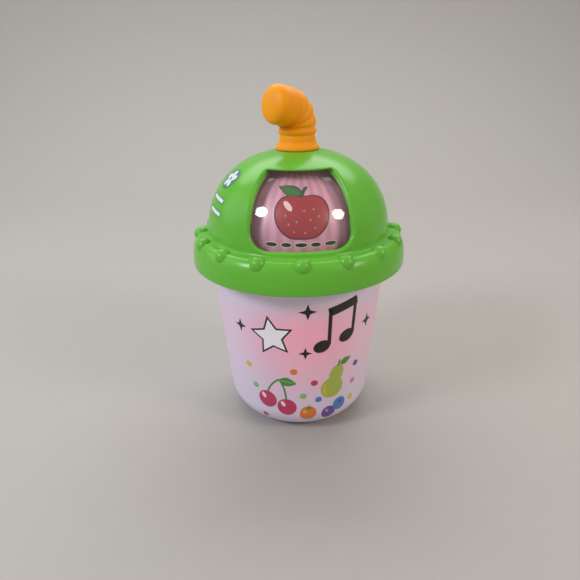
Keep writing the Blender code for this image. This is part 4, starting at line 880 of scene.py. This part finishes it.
def cap_outline():
    """The plug that closes the straw's end and carries on its rounding to a nearly flat face."""
    length = straw_length()
    start = straw_base() - STRAW_LOW
    gap = 0.04 * MM
    steps = 24
    face = []
    for step in range(steps + 1):
        turn = pi / 2 * step / steps
        along = length + gap + (STRAW_CAP_REACH - gap) * sin(turn)
        face.append((straw_profile(along) if step < steps else 0, start + along))
    plug = 6.15 * MM
    return [(0, start + length - 2 * MM), (plug, start + length - 2 * MM),
            (plug, start + length + gap)] + face


class TOYBLENDER_OT_straw(bpy.types.Operator):
    """Add the bent straw with its collar, ribs and closed end"""
    bl_idname = "toyblender.straw"
    bl_label = "Straw"

    def execute(self, context):
        # Polypropylene, blow moulded: a warm orange with a satin skin
        finish = moulded("satin_orange_plastic", colours().straw, 0.45, grain=0.5 * MM, depth=0.02,
                         variation=0.04,
                          Specular_IOR_Level=0.25)
        path = add_straw_curve()
        body = bend_along(lathe("straw", straw_outline(), sides=FINE_SIDES), path)
        finish_piece(body, finish, "straw_and_drum", ["straw_body"])
        cap = bend_along(lathe("straw_cap", cap_outline(), sides=FINE_SIDES), path)
        finish_piece(cap, finish, "straw_and_drum", ["straw_end_cap"])
        bpy.data.objects.remove(path, do_unlink=True)
        return {'FINISHED'}


# Prints

def oval(x, y, across, up=None, lean=0, points=36):
    """An ellipse's outline on the flat print, in millimetres."""
    up = across if up is None else up
    turn = radians(lean)
    outline = []
    for step in range(points):
        angle = 2 * pi * step / points
        a, b = across * cos(angle), up * sin(angle)
        outline.append((x + a * cos(turn) - b * sin(turn), y + a * sin(turn) + b * cos(turn)))
    return outline


def leaf(x, y, length, width, lean):
    """A pointed leaf whose stalk end is at a place."""
    turn = radians(lean)
    side = [(length * step / 14, width / 2 * sin(pi * (step / 14) ** 0.8)) for step in range(15)]
    outline = side + [(a, -b) for a, b in side[-2:0:-1]]
    return [(x + a * cos(turn) - b * sin(turn), y + a * sin(turn) + b * cos(turn)) for a, b in outline]


def star(x, y, points, outer, inner, lean=90):
    """A star whose first point leans by an angle."""
    outline = []
    for number in range(2 * points):
        reach = inner if number % 2 else outer
        turn = radians(lean + 180 * number / points)
        outline.append((x + reach * cos(turn), y + reach * sin(turn)))
    return outline


def stroke(line, width):
    """A band of a width along a line of points."""
    left, right = [], []
    for number, point in enumerate(line):
        before, after = line[max(0, number - 1)], line[min(len(line) - 1, number + 1)]
        run = Vector((after[0] - before[0], after[1] - before[1])).normalized() * width / 2
        left.append((point[0] - run.y, point[1] + run.x))
        right.append((point[0] + run.y, point[1] - run.x))
    return left + right[::-1]


def sweep_line(start, middle, end, steps=12):
    """Points on a smooth curve that leaves start towards middle and reaches end."""
    points = []
    for step in range(steps + 1):
        share = step / steps
        a, b, c = (1 - share) ** 2, 2 * share * (1 - share), share ** 2
        points.append((start[0] * a + middle[0] * b + end[0] * c, start[1] * a + middle[1] * b + end[1] * c))
    return points


def print_layer(name, shapes, lift, wrap, finishes):
    """Lays filled outlines flat, cuts them into a fine grid and wraps them over a surface.

    shapes are (ink name, outline in millimetres); wrap gives the surface point for a flat point and a lift."""
    solid = bmesh.new()
    order = []
    for tint, outline in shapes:
        if tint not in order:
            order.append(tint)
        face = solid.faces.new([solid.verts.new((x * MM, 0, y * MM)) for x, y in outline])
        face.material_index = order.index(tint)
    mesh = bpy.data.meshes.new(name)
    solid.to_mesh(mesh)
    solid.free()
    layer = bpy.data.objects.new(name, mesh)
    bpy.context.scene.collection.objects.link(layer)
    for tint in order:
        mesh.materials.append(finishes[tint])
    edit(layer)
    grid = 1.5 * MM
    for axis, number in ((0, 0), (2, 1)):
        places = [vertex.co[axis] for vertex in bmesh.from_edit_mesh(mesh).verts]
        low, high = min(places), max(places)
        count = int((high - low) / grid)
        normal = (1, 0, 0) if number == 0 else (0, 0, 1)
        for step in range(1, count + 1):
            place = [0, 0, 0]
            place[axis] = low + grid * step
            bpy.ops.mesh.select_all(action='SELECT')
            bpy.ops.mesh.bisect(plane_co=place, plane_no=normal)
    bpy.ops.mesh.select_all(action='SELECT')
    bpy.ops.mesh.quads_convert_to_tris()
    bpy.ops.object.mode_set(mode='OBJECT')
    for vertex in mesh.vertices:
        vertex.co = wrap(vertex.co.x, vertex.co.z, lift)
    return layer


def join_layers(name, layers, body):
    """Joins print layers to one thin piece with some thickness."""
    clear_selection()
    for layer in layers:
        layer.select_set(True)
    bpy.context.view_layer.objects.active = layers[0]
    bpy.ops.object.join()
    print_piece = named(bpy.context.object, name)
    edit(print_piece)
    bpy.ops.mesh.normals_make_consistent(inside=False)
    bpy.ops.object.mode_set(mode='OBJECT')
    apply_modifier(print_piece, 'SOLIDIFY', thickness=0.02 * MM, offset=0)
    take(print_piece)
    bpy.ops.object.shade_smooth_by_angle(angle=SMOOTH_ANGLE)
    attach(print_piece, body)
    return print_piece


def on_cup(x, along, lift):
    """Wraps a flat point round the cup's side and down its rounded foot."""
    azimuth = degrees(x / (42 * MM))
    if along >= CUP_CORNER:
        return (*around(cup_radius(along) + lift, azimuth), along)
    turn = (CUP_CORNER - along) / CUP_CORNER
    reach = CUP_CORNER + lift
    radius = cup_radius(CUP_CORNER, CUP_CORNER) + reach * cos(turn)
    return (*around(radius, azimuth), CUP_CORNER - reach * sin(turn))


def over_dome(middle, inset=0):
    """Wraps flat points over the dome, or a surface inset behind it, without stretching them.

    Points are measured round it from an azimuth and up along it from its foot."""
    steps = 200
    outline = dome_run(inset, 0, pi / 2, steps)
    lengths = [0]
    for here, there in zip(outline, outline[1:]):
        lengths.append(lengths[-1] + sqrt((there[0] - here[0]) ** 2 + (there[1] - here[1]) ** 2))

    def wrap(x, along, lift):
        number = max(1, sum(1 for length in lengths if length < along))
        share = (along - lengths[number - 1]) / (lengths[number] - lengths[number - 1])
        low, high = outline[number - 1], outline[number]
        run, rise = high[0] - low[0], high[1] - low[1]
        length = sqrt(run ** 2 + rise ** 2)
        radius = low[0] + run * share
        height = low[1] + rise * share - lift * run / length
        return (*around(radius + lift * rise / length, middle + degrees(x / radius)), height)
    return wrap


CUP_INKS = {"black": "1B1718", "white": "F6F2F6", "crimson": "C03A5E", "leaf": "4E8E3A", "pear": "A9B84A",
            "plum": "6E4A9A", "blue": "4A7FC0", "yellow": "DDB93C", "orange": "E07A34", "shine": "F4D9DE",
            "lilac": "A58CC8", "mint": "7FC07A", "rose": "D9799A"}


CUP_DOTS = (("orange", -4.2, 39.6), ("crimson", 6.4, 32.4), ("mint", -26.2, 27.4), ("rose", 30.6, 26.8),
            ("blue", 9.0, 21.6), ("yellow", -29.6, 39.0), ("plum", 31.4, 37.4), ("crimson", -22.0, 9.0),
            ("yellow", 30.4, 16.4), ("mint", 0.6, 24.6))


def cup_shapes():
    """Generic motifs: notes, a star and sparkles in black and white, fruit and dots in colour."""
    low = [("black", star(-14.5, 59, 5, 11.4, 5.6, 98)), ("black", oval(9.6, 53.6, 4.3, 3.3, 22)),
           ("black", oval(22.6, 57.0, 4.3, 3.3, 22)), ("black", stroke([(13.2, 54.0), (13.2, 73.0)], 1.9)),
           ("black", stroke([(26.2, 57.4), (26.2, 76.4)], 1.9)), ("black",
                                                                  stroke([(12.3, 71.6), (27.1, 75.4)], 4.6)),
           ("black", star(2.6, 73.0, 4, 4.2, 1.5)), ("black", star(-32.0, 61.0, 4, 3.6, 1.3)),
           ("black", star(1.6, 50.4, 4, 3.4, 1.2)), ("black", star(36.5, 60.5, 4, 3.8, 1.4))]
    low += [("crimson", oval(-19.4, 20.6, 5.4, 5.2)), ("crimson", oval(-8.4, 17.2, 5.4, 5.2)),
            ("leaf", stroke(sweep_line((-18.8, 25.4), (-17.2, 31.0), (-12.0, 34.4)), 1.0)),
            ("leaf", stroke(sweep_line((-8.6, 22.0), (-8.8, 29.5), (-12.0, 34.4)), 1.0)),
            ("leaf", leaf(-12.2, 34.0, 9.6, 5.2, -10))]
    low += [("pear", oval(16.6, 27.6, 6.6, 6.3)), ("pear", oval(18.6, 35.4, 4.0, 5.8, -16)),
            ("leaf", leaf(20.4, 41.0, 7.0, 3.8, 20)), ("plum", oval(15.4, 11.6, 4.3)), ("blue",
                                                                                        oval(22.0, 15.6, 4.1)),
            ("orange", oval(3.4, 13.2, 4.7))]
    low += [(tint, oval(x, along, 1.9, 1.7, points=24)) for tint, x, along in CUP_DOTS]
    high = [("white", star(-14.5, 59, 5, 9.4, 4.6, 98)), ("shine", oval(-21.4, 22.6, 1.1, 1.8, 30)),
            ("shine", oval(-10.4, 19.2, 1.1, 1.8, 30)), ("mint", stroke([(-11.0, 33.8), (-4.6, 32.8)], 0.5)),
            ("yellow", stroke(sweep_line((12.2, 30.2), (11.4, 26.6), (13.4, 23.6)), 1.1)), ("leaf",
                                                                                            stroke([(19.4, 40.2), (20.0, 43.6)], 1.0)),
            ("lilac", oval(14.2, 13.2, 0.9, 1.3, 30)), ("plum", star(22.6, 16.6, 5, 1.9, 0.8)),
            ("yellow", oval(1.6, 14.4, 0.9, 1.4, 30)), ("leaf", star(3.8, 16.8, 5, 2.0, 0.8))]
    return low, high


class TOYBLENDER_OT_cup_print(bpy.types.Operator):
    """Add the printed motifs on the cup"""
    bl_idname = "toyblender.cup_print"
    bl_label = "Cup print"

    def execute(self, context):
        inks = {name: ink("cup_ink_" + name, tint) for name, tint in CUP_INKS.items()}
        low, high = cup_shapes()
        layers = [print_layer("cup_print_low", low, 0.05 * MM, on_cup, inks),
                  print_layer("cup_print_high", high, 0.08 * MM, on_cup, inks)]
        join_layers("cup_print", layers, "housing")
        return {'FINISHED'}


FILM_INKS = {"red": "96282A", "deep": "5E1A20", "leaf": "3D6A34", "moss": "2C4A28", "pale": "D9B9B4",
             "black": "1E1718", "cream": "CFC4B4", "orange": "B4662A", "amber": "C98E3C", "green": "6E8C3C",
             "kiwi": "9DB45A", "navy": "33406E", "sky": "5A6EA4"}


def apple(x, y, reach):
    """An apple's outline: round, with a deep dimple on top and a slight one below."""
    outline = []
    for step in range(60):
        angle = 360 * step / 60
        top, foot = min(abs(angle - 90), 360) / 24, abs(angle - 270) / 20
        radius = reach * (1 - 0.24 * 2 ** -(top ** 2) - 0.09 * 2 ** -(foot ** 2))
        outline.append((x + 1.07 * radius * cos(radians(angle)), y + radius * sin(radians(angle))))
    return outline


def apple_picture():
    low = [("deep", apple(0.6, 15.0, 11.4)),
           ("moss", stroke(sweep_line((0.6, 22.6), (0.8, 26.0), (3.0, 28.6)), 1.5)),
           ("moss", leaf(1.2, 24.4, 11.4, 6.4, 158))]
    high = [("red", apple(0.6, 15.0, 10.6)), ("leaf", leaf(0.4, 24.6, 9.8, 4.8, 158))]
    top = [("pale", oval(-5.4, 19.0, 1.3, 2.6, 34))]
    top += [("amber",
             oval(0.6 + 7.2 * cos(radians(turn)) * reach, 13.6 + 6.6 * sin(radians(turn)) * reach, 0.28, 0.55,
                           turn, 12))
            for turn, reach in ((5, 1), (40, 0.9), (75, 0.5), (170, 1), (205, 0.9), (240, 1), (280, 0.95),
                                (320, 1),
                                (345, 0.5), (215, 0.4))]
    return low, high, top


def dashes():
    """A row of dark dashes with a pale edge under each picture."""
    low, high = [], []
    for x, half in ((-13.0, 2.6), (-6.4, 2.2), (0.0, 2.6), (6.4, 2.2), (13.0, 2.6)):
        low.append(("cream", oval(x, 2.3, half + 0.45, 1.35, points=28)))
        high.append(("black", oval(x, 2.3, half, 0.9, points=28)))
    return low, high, []


def orange_picture():
    low = [("orange", oval(0, 15, 10.5, 10.2)), ("leaf", leaf(1.0, 24.6, 8.0, 4.4, 18))]
    high = [("amber", oval(0, 15, 9.2, 8.9))]
    top = [("cream", stroke([(0, 15), (7.6 * cos(radians(turn)), 15 + 7.4 * sin(radians(turn)))], 0.6))
           for turn in range(0, 360, 45)]
    return low, high, top


def kiwi_picture():
    low = [("moss", oval(0, 15, 10.6, 9.6))]
    high = [("kiwi", oval(0, 15, 9.6, 8.6))]
    top = [("cream", oval(0, 15, 3.0, 2.6))]
    for turn in range(0, 360, 30):
        top.append(("black",
                    oval(5.0 * cos(radians(turn)), 15 + 4.5 * sin(radians(turn)), 0.8, 0.45, turn, 14)))
    return low, high, top


def berry_picture():
    low = [("navy", oval(-5.6, 12, 6.4)), ("navy", oval(6.4, 11, 6.2)), ("navy", oval(0.8, 20.4, 6.2)),
           ("leaf", leaf(3.0, 25.0, 9.0, 4.6, 14))]
    high = [("sky", oval(-5.6, 12, 5.6)), ("sky", oval(6.4, 11, 5.4)), ("sky", oval(0.8, 20.4, 5.4))]
    top = [("navy", star(-5.6, 13, 5, 2.2, 1.0)), ("navy", star(6.4, 12, 5, 2.2, 1.0)),
           ("navy", star(0.8, 21.6, 5, 2.2, 1.0))]
    return low, high, top


class TOYBLENDER_OT_film_print(bpy.types.Operator):
    """Add the four pictures on the drum's film"""
    bl_idname = "toyblender.film_print"
    bl_label = "Film pictures"

    def execute(self, context):
        inks = {name: ink("film_ink_" + name, tint) for name, tint in FILM_INKS.items()}
        layers = []
        pictures = ((0, apple_picture), (90, orange_picture), (180, kiwi_picture), (-90, berry_picture))
        for azimuth, picture in pictures:
            for level, (own, row) in enumerate(zip(picture(), dashes())):
                shapes = own + row
                lift = (0.05 + 0.03 * level) * MM
                layers.append(print_layer(f"film_{azimuth}_{level}", shapes, lift,
                                          over_dome(azimuth, SLEEVE_INSET), inks))
        join_layers("film_print", layers, "straw_and_drum")
        return {'FINISHED'}


class TOYBLENDER_OT_lid_print(bpy.types.Operator):
    """Add the plain white blossom and bands on the dome's side"""
    bl_idname = "toyblender.lid_print"
    bl_label = "Lid print"

    def execute(self, context):
        inks = {"white": ink("lid_ink_white", "E2EAE4"), "slate": ink("lid_ink_slate", "4A7A78")}
        low, high = [("slate", oval(0, 29.6, 6.2, 5.6, 8))], []
        for number in range(5):
            turn = radians(90 + 72 * number)
            high.append(("white", oval(2.8 * cos(turn), 29.6 + 2.8 * sin(turn), 2.0, 1.5, degrees(turn), 20)))
        for along, start, end in ((19.6, -6, 7), (13.6, -5, 8)):
            low.append(("slate", stroke([(start, along), (end, along - 1.2)], 2.6)))
            high.append(("white", stroke([(start + 0.5, along - 0.05), (end - 0.5, along - 1.15)], 1.6)))
        layers = [print_layer("lid_print_low", low, 0.05 * MM, over_dome(-68), inks),
                  print_layer("lid_print_high", high, 0.08 * MM, over_dome(-68), inks)]
        join_layers("lid_print", layers, "housing")
        return {'FINISHED'}


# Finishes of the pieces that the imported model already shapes

CAD_FINISHES = (
    ("base_white_abs", "D8D2D2", 0.45, ("base_plate", "battery_door")),
    ("frame_white_abs", "D6D6D4", 0.5, ("inner_frame", "battery_box", "picture_drum", "drum_shaft")),
    ("natural_acetal", "E2DCC8", 0.32, ("straw_bush", "deck_bush", "detent_wheel", "detent_arm")),
    ("black_nylon", "242424", 0.45, ("power_switch_body", "speaker_frame", "turn_switch", "sound_chip")),
    ("black_paper", "2C2A28", 0.85, ("speaker_cone",)),
    ("orange_knob", "FA9E00", 0.38, ("power_switch_knob",)),
    ("green_ring_abs", "65B634", 0.28, ("brim_ring",)),
    ("solder_mask", "1E6A3C", 0.35, ("circuit_board",)),
    ("lamp_epoxy", "FF9AB4", 0.12, ("led_front", "led_right", "led_back", "led_left")),
    ("capacitor_sleeve", "24408A", 0.3, ("capacitor",)),
    ("cell_jacket", "B98A2C", 0.28, ("battery_cell_left", "battery_cell_right")),
    ("red_insulation", "B01E1A", 0.4, ("speaker_wire_red", "switch_wire_red")),
    ("black_insulation", "222222", 0.4, ("speaker_wire_black", "turn_wire_black")),
    ("yellow_insulation", "DDB020", 0.4, ("switch_wire_yellow", "turn_wire_yellow")),
)
STEEL_NODES = ("battery_door_screw", "straw_screw", "detent_arm_screw", "board_screw_1", "board_screw_2",
               "battery_spring_lower", "battery_spring_upper", "battery_contact_bridge", "battery_contact_plus",
               "battery_contact_minus")


def dress(node, finish):
    """Gives a CAD node a finish of its own."""
    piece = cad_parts[node]
    if not piece.material_slots:
        piece.data.materials.append(finish)
    for place in piece.material_slots:
        place.material = finish


class TOYBLENDER_OT_inner_pieces(bpy.types.Operator):
    """Give the base and the pieces inside their finishes"""
    bl_idname = "toyblender.inner_pieces"
    bl_label = "Base and inner pieces"

    def execute(self, context):
        for name, tint, roughness, nodes in CAD_FINISHES:
            finish = moulded(name, linear(tint), roughness)
            for node in nodes:
                dress(node, finish)
        steel = plated_steel()
        screws = [f"{kind}_screw_{number}" for kind in ("base", "lid") for number in range(1, 5)]
        for node in (*STEEL_NODES, *screws):
            dress(node, steel)
        return {'FINISHED'}


class TOYBLENDER_PT_pieces(bpy.types.Panel):
    """The toy's pieces, in the order in which they are made"""
    bl_idname = "TOYBLENDER_PT_pieces"
    bl_label = "Toy Blender"
    bl_space_type = 'VIEW_3D'
    bl_region_type = 'UI'
    bl_category = "Toy Blender"

    def draw(self, context):
        column = self.layout.column()
        for operator in OPERATORS:
            column.operator(operator.bl_idname)
        for group in (sizes(), colours()):
            for name in group.__annotations__:
                column.prop(group, name)


OPERATORS = (TOYBLENDER_OT_stage, TOYBLENDER_OT_cup, TOYBLENDER_OT_lid, TOYBLENDER_OT_lens,
             TOYBLENDER_OT_drum,
             TOYBLENDER_OT_straw, TOYBLENDER_OT_cup_print, TOYBLENDER_OT_film_print, TOYBLENDER_OT_lid_print,
             TOYBLENDER_OT_inner_pieces)
CLASSES = (ToyBlenderSizes, ToyBlenderColours, *OPERATORS, TOYBLENDER_PT_pieces)


def register():
    for each in CLASSES:
        bpy.utils.register_class(each)
    bpy.types.Scene.toy_blender_sizes = bpy.props.PointerProperty(type=ToyBlenderSizes)
    bpy.types.Scene.toy_blender_colours = bpy.props.PointerProperty(type=ToyBlenderColours)


def unregister():
    del bpy.types.Scene.toy_blender_colours
    del bpy.types.Scene.toy_blender_sizes
    for each in reversed(CLASSES):
        bpy.utils.unregister_class(each)


def main():
    register()
    bpy.ops.toyblender.stage()
    bpy.ops.toyblender.cup()
    bpy.ops.toyblender.lid()
    bpy.ops.toyblender.lens()
    bpy.ops.toyblender.drum()
    bpy.ops.toyblender.straw()
    bpy.ops.toyblender.cup_print()
    bpy.ops.toyblender.film_print()
    bpy.ops.toyblender.lid_print()
    bpy.ops.toyblender.inner_pieces()
    clear_selection()


if __name__ == "__main__":
    main()
